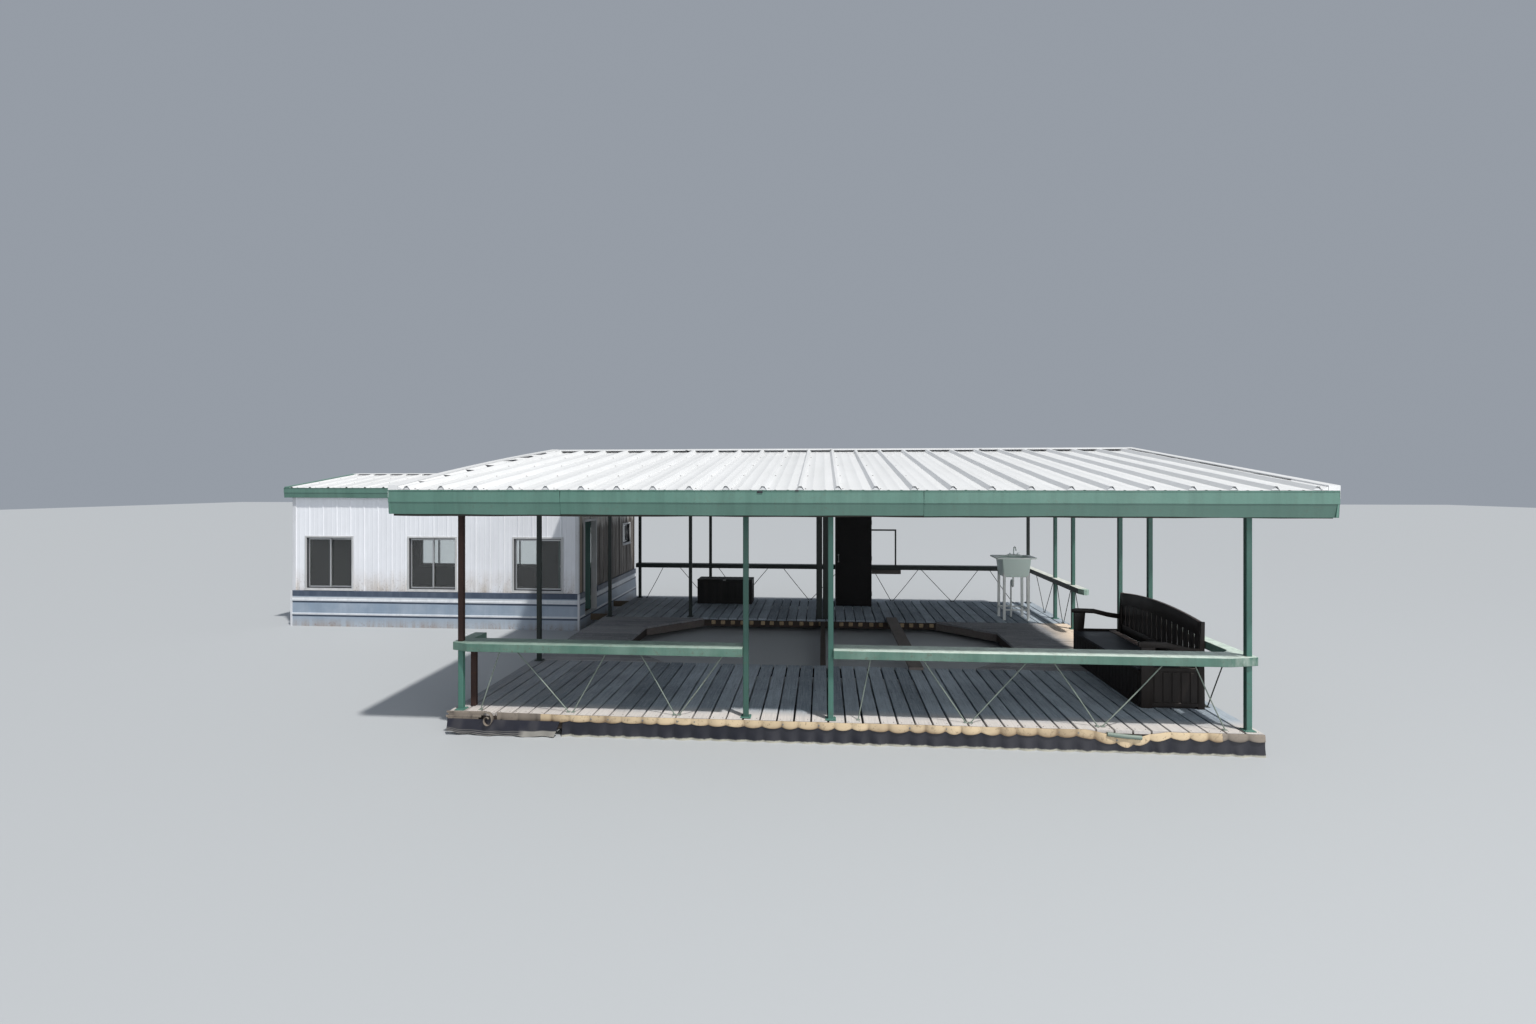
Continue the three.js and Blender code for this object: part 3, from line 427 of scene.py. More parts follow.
def painted(name, colour, faded, worn, rust, roughness, painted_sun_tops=None):
    """Old outdoor paint on steel: faded patches, chalk on top faces, dirty runs, rust specks that lift it.
    Where tone is 1 it is half as light: this tone is painted shade on the posts' faces toward the cabin and
    on the fascia's lower plate, and it darkens some posts all round. The last argument gives top faces a
    paler colour, painted sunlight, that comes in between two places across."""
    f = Finish(name, colour, roughness)
    f.layer(f.patches * worn, faded)
    # Painted sunlight: top faces turn paler between two places across
    if painted_sun_tops:
        pale, start, full = painted_sun_tops
        f.layer(f.up * f.along("X", start, full, 0.25, 0.95), pale)
        corner = f.along("X", 4.20, 4.42) * f.along("Y", 0.25, 0.05)
        scraped = corner * f.noise(11.0, (1, 1, 0.4)).spread(0.42, 0.62)
        f.layer(scraped * 0.6, (0.42, 0.46, 0.42))
    else:
        f.layer(f.up * 0.55, faded)
    # Painted shade: where the tone is 1 the paint is half as light
    f.layer(f.tone() * 0.9, times(colour, 0.5))
    f.layer(f.runs * 0.30, times(colour, 0.45))
    specks = f.speckle * f.patches * rust
    rough = f.fine.spread(0.3, 0.7, roughness - 0.08, roughness + 0.14)
    f.layer(specks, (0.10, 0.042, 0.018))
    f.done(rough + specks * 0.3, f.fine + specks, 0.25, 0.0015)


def plastic(name, colour, dust, roughness, dusty=0.4):
    """Moulded plastic or rubber: dust on top faces and in patches, faint runs, fine grain."""
    f = Finish(name, colour, roughness)
    f.layer(f.up * f.patches * dusty, dust)
    f.layer(f.runs * (0.25 * dusty), dust)
    f.done(f.patches.spread(0.0, 1.0, roughness - 0.06, roughness + 0.16), f.fine, 0.2)


def worn_and_painted_light_by_tone(name, clean, dirt_and_painted_light, roughness=0.75, patchy=1.0):
    """Soft old sheet, clean where tone is 0 and at a second colour where it is 1, with stained patches in
    both. The tone carries dirt, and also painted shade in the bumper's creases and a painted highlight on the
    mat's fold crests.
    """
    f = Finish(name, clean, roughness)
    stained = f.tone() * 0.85 + f.patches * (0.30 * patchy)
    f.layer(stained.math("MINIMUM", 1.0), dirt_and_painted_light)
    f.layer(f.speckle * (0.35 * patchy), times(dirt_and_painted_light, 0.6))
    f.done(None, f.fine, 0.3, 0.0015)


def boarded(name, dark, light, turned=0.0, bleach=0.0, painted_sunlight=None):
    """Weathered boards: each board has its own tone, the grain runs along it, and checks show dark. The last
    argument gives painted sunlight: a pale colour laid where the sun falls, the axis along which it comes in,
    and where it starts and is full."""
    f = Finish(name, dark, 0.85)
    tone = f.tone()
    made = node(f.tree, "ShaderNodeGroup", {"Turned": turned, "Tone": tone}, node_tree=GRAIN)
    grain, checks, height = (Value(made, i) for i in range(3))
    f.layer(grain * 0.5 + tone * 0.5, light)
    f.layer(f.patches * 0.35, times(dark, 0.62))
    f.layer(checks, times(dark, 0.3))
    f.layer(f.speckle * (0.25 + bleach), times(light, 1.35))
    # Painted sunlight: the boards turn pale where the sun falls on them
    if painted_sunlight:
        colour, axis, start, full = painted_sunlight
        share = f.along(axis, start, full, shift=(tone - 0.5) * (0.35 * (full - start)))
        f.layer(share * 0.85, (grain * 0.55).mix(colour, times(colour, 0.55)))
        f.layer(f.along("X", -4.6, -2.2, 0.6, 0.0) * grain, (0.34, 0.30, 0.275))
    f.done(grain.spread(0.0, 1.0, 0.78, 0.93), height, 0.6, 0.003)


def bare_metal(name, colour, roughness, rust=0.0):
    """Aluminium or galvanised steel, dulled in patches."""
    f = Finish(name, colour, roughness, 0.9)
    f.layer(f.patches * 0.5, times(colour, 0.6))
    f.layer(f.speckle * rust, (0.14, 0.06, 0.03))
    f.done(f.patches.spread(0.0, 1.0, roughness, roughness + 0.25), f.fine, 0.15, 0.0008)


def roof_finish():
    """White coated sheet: faint stains that run down the slope, dirt in patches, satin shine."""
    f = Finish("roof_white", (0.73, 0.74, 0.75), 0.38)
    f.constant("Coat Weight", 0.15)
    stain = (0.58, 0.59, 0.59)
    f.layer(f.noise(3.2, (1.0, 0.07, 0.07), 5.0, 0.6).spread(0.45, 0.75, 0.0, 0.5), stain)
    f.layer(f.patches * 0.22, stain)
    f.layer(f.speckle * f.patches * 0.12, (0.30, 0.24, 0.18))
    f.done(f.fine.spread(0.3, 0.7, 0.32, 0.50), f.fine, 0.08)


def siding_finish():
    """White ribbed siding: runs from the eave, and dirt and stains that thicken over its lowest part."""
    f = Finish("siding_white", (0.86, 0.88, 0.93), 0.45)
    dirt = (0.66, 0.68, 0.72)
    foot = f.along("Z", 1.0, 0.5)
    f.layer(f.runs * 0.30, dirt)
    f.layer(f.patches * 0.25, dirt)
    splash = foot * f.noise(5.0, (1, 1, 0.3), 6.0).spread(0.35, 0.65)
    f.layer(splash * 0.8, (0.50, 0.44, 0.38))
    f.layer(f.speckle * foot * 0.5, (0.12, 0.055, 0.025))
    f.done(f.patches.spread(0.0, 1.0, 0.38, 0.60), f.fine, 0.12)


def shaded_wall_finish():
    """The wall beside the doorway: pale above a ragged line and dark with pale streaks below it, the dark
    being dirt and the painted shadow of the deck's roof, but tan along its near corner."""
    f = Finish("siding_dirt_and_painted_shadow", (0.62, 0.60, 0.57), 0.6)
    streaks = f.noise(9.0, (1.0, 1.0, 0.05), 5.0, 0.7)
    f.layer(f.runs * 0.5, (0.36, 0.33, 0.30))
    dirt_and_painted_light = streaks.spread(0.48, 0.66).mix((0.085, 0.072, 0.062), (0.34, 0.31, 0.28))
    # Painted shadow with dirt: below a ragged line the wall turns dark
    f.layer(f.along("Z", 1.93, 1.80, shift=(streaks - 0.5) * 1.1), dirt_and_painted_light)
    f.layer(f.along("Y", 5.93, 5.90) * 0.8, (0.36, 0.29, 0.22))
    f.layer(f.speckle * 0.4, (0.06, 0.045, 0.035))
    f.done(None, f.fine)


def glass_finish():
    """Window glass with a light dusty film."""
    f = Finish("window_glass", (0.93, 0.96, 0.96), 0.04)
    f.constant("Transmission Weight", 0.985)
    f.constant("IOR", 1.45)
    f.layer(f.patches * 0.25, (0.74, 0.79, 0.80))
    f.done(f.runs.spread(0.0, 1.0, 0.02, 0.07))


def belting_finish():
    """Black belting that is pale with dried scum along its lowest few centimetres."""
    f = Finish("belting", (0.006, 0.007, 0.014), 0.5)
    scum = f.along("Z", 0.042 - FREEBOARD, 0.026 - FREEBOARD, shift=f.noise(14.0) * 0.030)
    f.layer(f.patches * 0.5, (0.040, 0.040, 0.050))
    f.layer(scum * 0.85, (0.44, 0.43, 0.36))
    f.done(f.patches.spread(0.0, 1.0, 0.38, 0.62), f.fine, 0.25, 0.0015)


STRIP_LOW, STRIP_HIGH, BELT_FROM, SKIRT_TOP = -0.005, 0.285, 0.385, 0.50


def skirt_finish():
    """Blue-grey sheet with a navy belt at its head, white raised strips and a navy line under each, which is
    painted shadow.
    """
    f = Finish("skirt_blue", (0.26, 0.335, 0.43), 0.45)
    sway = (f.noise(2.0) - 0.5) * 0.004
    soft = 0.003

    def stripe(low, high):
        return (f.along("Z", low - soft, low + soft, shift=sway)
                * f.along("Z", high + soft, high - soft, shift=sway))

    f.layer(f.patches * 0.8, (0.44, 0.50, 0.58))
    f.layer(f.along("Z", 0.02, -0.22, shift=sway), (0.41, 0.46, 0.52))
    pale = stripe(STRIP_LOW - 0.004, STRIP_LOW + 0.036) + stripe(STRIP_HIGH - 0.004, STRIP_HIGH + 0.080)
    f.layer(pale, (0.66, 0.69, 0.73))
    # Painted shadow: a navy line under each raised strip; the belt at the head is navy paint
    navy_belt_and_painted_shadow = stripe(STRIP_LOW - 0.042, STRIP_LOW - 0.006) + stripe(STRIP_HIGH - 0.042, STRIP_HIGH - 0.006)
    navy_belt_and_painted_shadow += stripe(BELT_FROM, SKIRT_TOP + 0.02)
    f.layer(navy_belt_and_painted_shadow * 0.92, (0.032, 0.050, 0.090))
    foot = f.along("Z", -0.08, -0.28, shift=sway)
    f.layer(f.runs * foot * 0.9, (0.36, 0.24, 0.15))
    f.layer(f.speckle * foot, (0.20, 0.09, 0.04))
    f.layer(f.runs * 0.25, (0.20, 0.24, 0.30))
    f.done(f.patches.spread(0.0, 1.0, 0.35, 0.6), f.fine)


for one_of_a_kind in (roof_finish, siding_finish, shaded_wall_finish, glass_finish, belting_finish,
                      skirt_finish):
    one_of_a_kind()
for row in (  # colour, faded colour, how worn, how rusty, roughness, painted sunlight on top faces
    ("fascia_green", (0.088, 0.195, 0.158), (0.148, 0.26, 0.22), 0.4, 0.25, 0.5),
    # Painted sunlight: the front rails' top faces turn pale towards the right
    ("rail_green", (0.060, 0.150, 0.115), (0.20, 0.29, 0.245), 0.55, 0.6, 0.55,
     ((0.60, 0.70, 0.64), -2.5, 1.5)),
    # The back rail's near-black is painted shade under the roof; the top faces of its wing at the right take
    # painted sunlight
    ("rail_dark", (0.010, 0.018, 0.018), (0.035, 0.055, 0.050), 0.4, 0.4, 0.55,
     ((0.68, 0.71, 0.67), 4.0, 4.3)),
    ("rail_end", (0.22, 0.34, 0.29), (0.42, 0.52, 0.47), 0.6, 0.3, 0.55),
    ("post_green", (0.048, 0.145, 0.115), (0.09, 0.21, 0.175), 0.4, 0.5, 0.5),
    # Near-black painted shade for the posts under the roof, their beams and the bracket
    ("post_dark", (0.007, 0.014, 0.012), (0.02, 0.04, 0.035), 0.4, 0.4, 0.5),
    ("peeled_brown", (0.028, 0.012, 0.010), (0.052, 0.026, 0.019), 0.6, 0.7, 0.8),
    ("roof_frame_green", (0.035, 0.085, 0.065), (0.07, 0.13, 0.11), 0.3, 0.3, 0.6),
    ("rod_pale", (0.17, 0.21, 0.18), (0.26, 0.30, 0.26), 0.5, 0.7, 0.65),
    # A near-black copy of the rods' paint: painted shade for the rods at the side and back
    ("rod_steel", (0.020, 0.028, 0.025), (0.06, 0.07, 0.06), 0.3, 0.7, 0.65),
    ("rusty_steel", (0.030, 0.022, 0.018), (0.06, 0.045, 0.036), 0.6, 0.9, 0.8),
    ("corner_trim", (0.68, 0.70, 0.74), (0.55, 0.55, 0.56), 0.4, 0.35, 0.5),
    ("window_metal", (0.50, 0.51, 0.52), (0.66, 0.67, 0.68), 0.5, 0.2, 0.45),
    ("door_teal", (0.055, 0.135, 0.120), (0.11, 0.20, 0.18), 0.4, 0.15, 0.45),
    ("locker_black", (0.0025, 0.0025, 0.003), (0.009, 0.009, 0.010), 0.5, 0.25, 0.6),
):
    painted(*row)
for row in (  # colour, dust colour, roughness, how dusty
    ("float_black", (0.012, 0.013, 0.014), (0.13, 0.12, 0.10), 0.45),
    ("loose_tube", (0.15, 0.20, 0.17), (0.22, 0.24, 0.21), 0.5, 0.5),
    # Black rubber for the window seals, also used as painted shade in gaps under the roofs' caps and trims,
    # and for small marks on the fascia
    ("gasket", (0.015, 0.017, 0.024), (0.05, 0.05, 0.05), 0.6, 0.3),
    # Near-black lining: painted shade for the dark rooms behind the windows
    ("room_lining", (0.026, 0.024, 0.022), (0.05, 0.046, 0.042), 0.85, 0.5),
    ("bench_brown", (0.012, 0.009, 0.008), (0.055, 0.042, 0.036), 0.46, 0.5),
    # Pale brown for the bench's rims: dust and a painted highlight where the sun catches them
    ("bench_edge", (0.16, 0.115, 0.105), (0.30, 0.25, 0.23), 0.55, 0.6),
    ("bench_lid", (0.014, 0.016, 0.022), (0.060, 0.068, 0.085), 0.38, 0.7),
    ("box_black", (0.010, 0.010, 0.010), (0.09, 0.08, 0.07), 0.55, 0.6),
    ("tub_green", (0.68, 0.81, 0.75), (0.72, 0.80, 0.76), 0.45, 0.5),
    ("tub_rim", (0.84, 0.91, 0.87), (0.86, 0.88, 0.85), 0.4, 0.5),
    ("tub_white", (0.72, 0.74, 0.72), (0.55, 0.54, 0.50), 0.4, 0.5),
):
    plastic(*row)
for row in (  # dark and light colour, grain along x, extra bleached specks, painted sunlight
    ("boards_along", (0.122, 0.150, 0.184), (0.46, 0.53, 0.60), 0.0, 0.0,
     ((0.66, 0.61, 0.575), "Y", 0.42, 0.16)),
    ("boards_across", (0.150, 0.155, 0.170), (0.35, 0.35, 0.365), 1.0, 0.15),
    ("boards_right", (0.150, 0.155, 0.170), (0.35, 0.35, 0.365), 1.0, 0.15,
     ((0.88, 0.72, 0.56), "X", 3.95, 4.35)),
    ("plywood", (0.13, 0.10, 0.07), (0.24, 0.19, 0.13)),
    ("old_board", (0.10, 0.085, 0.080), (0.21, 0.185, 0.17), 1.0),
    # Near-black board under the front fascia: painted shade for the dark line beneath it
    ("backing_wood", (0.022, 0.022, 0.018), (0.060, 0.056, 0.045), 1.0),
    ("raw_block", (0.24, 0.17, 0.10), (0.42, 0.32, 0.20)),
):
    boarded(*row)
for row in (  # clean colour, colour for dirt and painted light, roughness, how patchy
    ("bumper_tan", (0.64, 0.51, 0.335), (0.20, 0.14, 0.085), 0.75, 1.6),
    ("bumper_old", (0.27, 0.23, 0.19), (0.085, 0.072, 0.062)),
    ("mat_navy", (0.009, 0.010, 0.021), (0.40, 0.38, 0.34), 0.42, 0.08),
):
    worn_and_painted_light_by_tone(*row)
bare_metal("sash_metal", (0.62, 0.63, 0.64), 0.38)
bare_metal("tap_metal", (0.60, 0.60, 0.58), 0.22)
bare_metal("hardware", (0.30, 0.30, 0.30), 0.45, 0.6)
for name in ("locker_black", "bench_brown", "bench_lid", "box_black"):
    FINISHES[name].node_tree.nodes["Principled BSDF"].inputs["Specular IOR Level"].default_value = 0.25

# Deck boards
CORNER = 0.95  # reach of the boarded corners of the well
GAP = 0.022


def planks(lanes, starts, ends, width, slants=(0.0, 0.0), top=0.0, turned=False, rings=8):
    """Boards lying side by side. Each is a flat oblong section with rounded upper edges and a slightly
    hollow face, carried from its start to its end; a slant moves the end by slant times the distance
    across. Lane and height wander along the board as slow sines, and each board lies a little higher or
    lower than the next. Boards run along y, or along x when turned. Returns shape and tones."""
    count = len(lanes)
    lanes, starts, ends = (np.asarray(a, float)[:, None, None] for a in (lanes, starts, ends))
    at_start, at_end = (np.broadcast_to(slant, count)[:, None, None] for slant in slants)
    half, edge = width / 2, 0.005
    u = np.array([-half, -half, -half + edge, 0.0, half - edge, half, half])
    v = np.array([BOARDS_UNDER, -edge, 0.0, -0.0015, 0.0, -edge, BOARDS_UNDER])
    first, last = starts + at_start * u, ends + at_end * u
    along = first + (last - first) * np.linspace(0, 1, rings)[:, None]
    phase = rng.random((3, count, 1, 1)) * 2 * np.pi
    across = lanes + u + 0.0015 * np.sin(2.3 * along + phase[0])
    up = top + v + 0.0016 * np.sin(1.9 * along + phase[1]) + 0.0022 * (phase[2] / np.pi - 1)
    points = at(along, across, up) if turned else at(across, along, up)
    size = rings * len(u)
    shape = outward(points.reshape(-1, 3), repeated(skin_faces(rings, len(u)), count, size))
    return shape, np.repeat(rng.random(count), size)


def lane_middles(low, high, pitch):
    """Middle lines of boards of one pitch that fill the way from low to high."""
    count = round((high - low) / pitch)
    return low + (np.arange(count) + 0.5) * (high - low) / count


def ragged(lanes, reach):
    return reach * rng.random(len(lanes))


def deck_boards(side, finish, *lay, **more):
    shape, tones = planks(*lay, **more)
    placed("deck_boards_" + side, shape, finish, "boards_" + side, tones=tones)


LANES_X = lane_middles(-DECK_HALF, DECK_HALF, 0.2)
wide = 2 * DECK_HALF / len(LANES_X) - GAP
deck_boards("front", "boards_along", LANES_X, ragged(LANES_X, 0.006),
            WELL_FRONT - ragged(LANES_X, 0.02), wide)
deck_boards("back", "boards_along", LANES_X, WELL_BACK + ragged(LANES_X, 0.03),
            DECK_BACK - ragged(LANES_X, 0.02), wide)
LANES_Y = lane_middles(WELL_FRONT + 0.002, WELL_BACK - 0.002, 0.1944)
wide = (WELL_BACK - WELL_FRONT) / len(LANES_Y) - GAP
from_front, from_back = LANES_Y - WELL_FRONT, WELL_BACK - LANES_Y
reach = np.maximum(0, CORNER - np.minimum(from_front, from_back))
slant = np.sign(reach) * np.where(from_front < from_back, 1.0, -1.0)
deck_boards("left", "boards_across", LANES_Y, -DECK_HALF + ragged(LANES_Y, 0.02), WELL_LEFT + reach, wide,
            slants=(0.0, -slant), turned=True)
deck_boards("right", "boards_right", LANES_Y, WELL_RIGHT - reach, DECK_HALF - ragged(LANES_Y, 0.07), wide,
            slants=(slant, 0.0), turned=True)


def nail_pairs(lanes, rows, turned=False):
    """Two nail heads on each board over each joist."""
    lane, row, side = np.meshgrid(lanes, rows, [-0.06, 0.06], indexing="ij")
    across = (lane + side).ravel() + rng.normal(0, 0.004, lane.size)
    along = row.ravel() + rng.normal(0, 0.006, lane.size)
    places = at(along, across, -0.001) if turned else at(across, along, -0.001)
    return studs(places, (0, 0, 1), 0.0055, 0.0028)


JOISTS = np.array([0.05, 1.2, 2.4])
placed("deck_nails", [
    nail_pairs(LANES_X, JOISTS), nail_pairs(LANES_X, WELL_BACK + JOISTS),
    nail_pairs(LANES_Y, [-DECK_HALF + 0.04, -3.6], True), nail_pairs(LANES_Y, [3.1, DECK_HALF - 0.11], True),
], "rusty_steel", smooth=40)

# Boards on edge along the well's slanted corners, and the rough blocks under the back boards' ends
WELL_CORNERS = [(x, y, way_x, way_y) for x, way_x in ((WELL_LEFT, 1), (WELL_RIGHT, -1))
                for y, way_y in ((WELL_FRONT, 1), (WELL_BACK, -1))]
placed("well_corner_boards", chamfered(
    [(x + way_x * CORNER / 2, y + way_y * CORNER / 2, -0.105) for x, y, way_x, way_y in WELL_CORNERS],
    [CORNER * math.sqrt(2), 0.034, 0.128], 0.004,
    [spin(math.atan2(-way_y, way_x)) for _, _, way_x, way_y in WELL_CORNERS]), "old_board")
blocks_x = np.arange(WELL_LEFT + 1.15, WELL_RIGHT - 1.0, 0.2)
blocks = at(blocks_x + rng.normal(0, 0.008, len(blocks_x)), WELL_BACK - 0.012, -0.085)
placed("well_back_blocks", chamfered(blocks, [0.085, 0.045, 0.075], 0.012), "raw_block",
       tones=np.repeat(rng.random(len(blocks)), 24))
low, high = local("well_plank")
plank, plank_tone = planks([(low[0] + high[0]) / 2], [low[1]], [high[1]], high[0] - low[0] - 0.01,
                           top=-BOARDS_UNDER + 0.0006, rings=24)
placed("loose_plank", plank, "old_board", "well_plank", tones=plank_tone)

# Bumper: a soft ribbon on edge, nailed at every LOBE so that it stands out between the nails. It has come
# loose and hangs down at one place, and its two ends are older and browner.
LOBE = 0.208
RIBBON_X = [-4.7, -4.1, -3.5, -3.2, 2.6, 2.78, 3.0, 3.23, 3.36, 3.47, 3.65, 4.7]
RIBBON_TOP = [0.004, 0.010, 0.000, -0.004, -0.004, 0.000, -0.040, -0.092, -0.070, -0.036, -0.006, -0.004]
RIBBON_LOW = [-0.085, -0.088, -0.080, -0.076, -0.076, -0.080, -0.128, -0.174, -0.150, -0.110, -0.076, -0.076]


def ribbon(low, high, reach, seed, uneven_edge=0.010):
    """A band on edge from x = low to high: it stands off by 8 mm plus reach * |sin(pi x / lobe)|^0.7, each
    lobe a little differently and less so at the left, and leans out towards its lower edge. Its tone is
    dirtier at the lower edge, and darker at the nails, where the lobes meet in creases: painted shade.
    Returns shape and tones."""
    local_rng = np.random.default_rng(seed)
    x = np.linspace(low, high, int((high - low) / 0.0125) + 1)[:, None]
    knots = np.arange(low - LOBE, high + 2 * LOBE, LOBE)
    size, edge, wander = (np.interp(x, knots, local_rng.random(len(knots))) for _ in range(3))
    swell = np.abs(np.sin(np.pi * (x + 0.07 * wander) / LOBE)) ** 0.7
    out = np.interp(x, [-3.5, -1.5, 0.3], [0.55, 0.65, 1.0]) * swell
    s = np.linspace(0, 1, 7)
    top = np.interp(x, RIBBON_X, RIBBON_TOP) + 0.004 * edge
    bottom = np.interp(x, RIBBON_X, RIBBON_LOW) + 0.014 - out * (0.016 + 0.014 * size) - uneven_edge * edge
    stand = 0.008 + reach * out * (0.6 + 0.4 * size) * (0.45 + 0.55 * s**0.6)
    outer = at(x, -stand, top + (bottom - top) * s)
    # Dirt at the lower edge, painted shade in the creases at the nails, and random dirt
    tone = np.clip(0.8 * s**4 + 0.5 * (1 - swell) ** 2 + 0.8 * (edge - 0.6), 0, 1)
    return sheet(outer, outer + [0, 0.0065, 0]), np.hstack([tone, np.full_like(tone, 0.9)]).ravel()


OLD_TO, OLD_FROM = -3.53, 4.24
tan_ribbon, tan_tones = ribbon(OLD_TO, OLD_FROM, 0.028, 3)
placed("bumper_strip", tan_ribbon, "bumper_tan", "bumper_front", tones=tan_tones, smooth=50)
old_parts = [ribbon(-4.07, OLD_TO - 0.002, 0.026, 5, 0.018),
             ribbon(OLD_FROM + 0.002, DECK_HALF - 0.01, 0.030, 6)]
for i in range(4):  # layers of older strips at the left end
    part, tone = ribbon(-DECK_HALF + 0.03 * (i % 2), -4.20 - 0.03 * i, 0.006, 60 + i, 0.004)
    x, y, z = part[0].T
    y -= 0.006 + 0.008 * i
    z[:] = 0.012 - 0.030 * i + (z + 0.04) * 0.30 - 0.012 * np.sin(2.4 * x + i)
    old_parts.append((part, np.clip(tone + 0.25 * (i % 2), 0, 1)))
turns = np.linspace(0, 2.6 * np.pi, 34)[:, None]
aside, curl_y = np.array([0, 0, 0.007, 0.007]), np.array([-0.112, -0.060, -0.060, -0.112])
curl_x = -4.155 + (0.024 + 0.0062 * turns) * np.cos(turns + 0.6)
curl_z = -0.060 + (0.028 + 0.0085 * turns) * np.sin(turns + 0.6)
old_parts.append((loft(at(curl_x + aside, curl_y, curl_z + aside * 0.6)), np.tile([0.1, 0.6, 0.6, 0.1], 34)))
placed("bumper_old_ends", [part for part, _ in old_parts], "bumper_old", "bumper_front",
       tones=np.concatenate([tone for _, tone in old_parts]), smooth=50)
pins = np.arange(math.ceil(-3.5 / LOBE), math.floor(4.6 / LOBE)) * LOBE
pins_z = (np.interp(pins, RIBBON_X, RIBBON_TOP) + np.interp(pins, RIBBON_X, RIBBON_LOW)) / 2
placed("bumper_pins", studs(at(pins, -0.012, pins_z), (0, -1, 0), 0.012, 0.004, 8), "hardware",
       smooth=40)
placed("bumper_loose_tube", tube([[3.01, -0.020, -0.040], [3.20, -0.024, -0.060], [3.38, -0.020, -0.072]],
                                 0.024, 14), "loose_tube", smooth=50)


# Black belting behind the bumper and over the float's face, gathered by the same nails
def belting(low, high, top, bottom, depth):
    """A hanging sheet from x = low to high: it stands out by depth * hang^1.3 * |sin(pi x / lobe)|, with
    hang going 0 to 1 from its top to its bottom edge. Its lower edge rises and falls with the folds."""
    x = np.linspace(low, high, int((high - low) / 0.02) + 1)[:, None]
    knots = np.arange(low - LOBE, high + 2 * LOBE, LOBE)
    uneven = np.interp(x, knots, np.random.default_rng(7).random(len(knots)))
    fold = np.abs(np.sin(np.pi * (x / LOBE + 0.25 * uneven)))
    hang = np.linspace(0, 1, 9)
    y = -0.007 - depth * hang**1.3 * fold * (0.5 + 0.5 * uneven)
    outer = at(x, y, top + (bottom - top - 0.012 * fold * uneven) * hang)
    return sheet(outer, outer + [0, 0.006, 0])


placed("front_belting", belting(-3.26, DECK_HALF - 0.01, -0.05, -0.247, 0.045), "belting",
       smooth=50)


def hanging_mat():
    """A heavy sheet over the left front corner: its folds run slantwise and deepen downwards, its lower
    edge is bowed, its right end is slanted, and worn lines run along its foot. Its fold crests are a little
    paler, a painted highlight. Returns shape and tones."""
    u, hang = np.linspace(0, 1, 90)[:, None], np.linspace(0, 1, 40)
    left, right = -4.66, -3.273 - 0.063 * hang
    x = left + (right - left) * u
    low = np.interp(u, [0, 0.10, 0.30, 0.55, 0.80, 1.0], [-0.195, -0.222, -0.238, -0.241, -0.243, -0.234])
    fold = np.sin(2 * np.pi * (x / 0.46 + 0.30 * hang))
    fold = fold + 0.45 * np.sin(2 * np.pi * (x / 0.19 - 0.2 * hang) + 1.0)
    y = -0.070 - 0.016 * hang**0.7 * (1 + 0.75 * fold)
    outer = at(x, y, -0.060 + (low + 0.060 + 0.004 * np.sin(31 * u)) * hang)
    lines = [np.exp(-(((hang - line - 0.03 * np.sin(5 * u)) / 0.018) ** 2)) * share
             for line, share in ((0.72, 0.45), (0.84, 0.7), (0.955, 0.9))]
    patch = np.clip((u - 0.66) / 0.06, 0, 1) * np.clip((hang - 0.62) / 0.05, 0, 1) * 0.75
    # Worn lines and a patch, and a painted highlight on the fold crests
    tone = np.clip(np.maximum.reduce([*lines, patch]) + 0.06 * np.clip(fold, 0, 1), 0, 1)
    return sheet(outer, outer + [0, 0.007, 0]), np.hstack([tone, tone[:, ::-1]]).ravel()


mat, mat_tones = hanging_mat()
placed("rubber_mat", mat, "mat_navy", "mat_front_left", tones=mat_tones, smooth=60)


# Floats
def pontoon(low, high, along, bay=0.25):
    """A moulded float: a squarish rounded section, |cos|^0.35 by |sin|^0.35, carried along one axis. Each
    bay ends in a groove that draws the section in by a twentieth, and the last 6 cm round off."""
    middle, half = (low + high) / 2, (high - low) / 2
    length = high[along] - low[along]
    t = np.unique([*np.arange(0, length, bay / 8), *(length - np.array([0.06, 0.04, 0.02, 0.006, 0.0])),
                   0.006, 0.02, 0.04])[:, None]
    groove = np.exp(-((((t + bay / 2) % bay - bay / 2) / 0.022) ** 2))
    ends = np.clip(np.minimum(t, length - t) / 0.06, 0, 1)
    size = (1 - 0.05 * groove) * (0.86 + 0.14 * np.sqrt(1 - (1 - ends) ** 2))
    cosine, sine = (np.sign(a) * np.abs(a) ** 0.35 for a in round_turn(28))
    across = middle[1 - along] + half[1 - along] * size * cosine.T
    points = [low[along] + t, across] if along == 0 else [across, low[along] + t]
    return loft(at(*points, middle[2] + half[2] * size * sine.T))


for name, along in (("float_front", 0), ("float_back", 0), ("float_left", 1), ("float_right", 1),
                    ("cabin_float_front", 0), ("cabin_float_back", 0)):
    placed(name + "_moulded", pontoon(*local(name), along), "float_black", name, smooth=50)

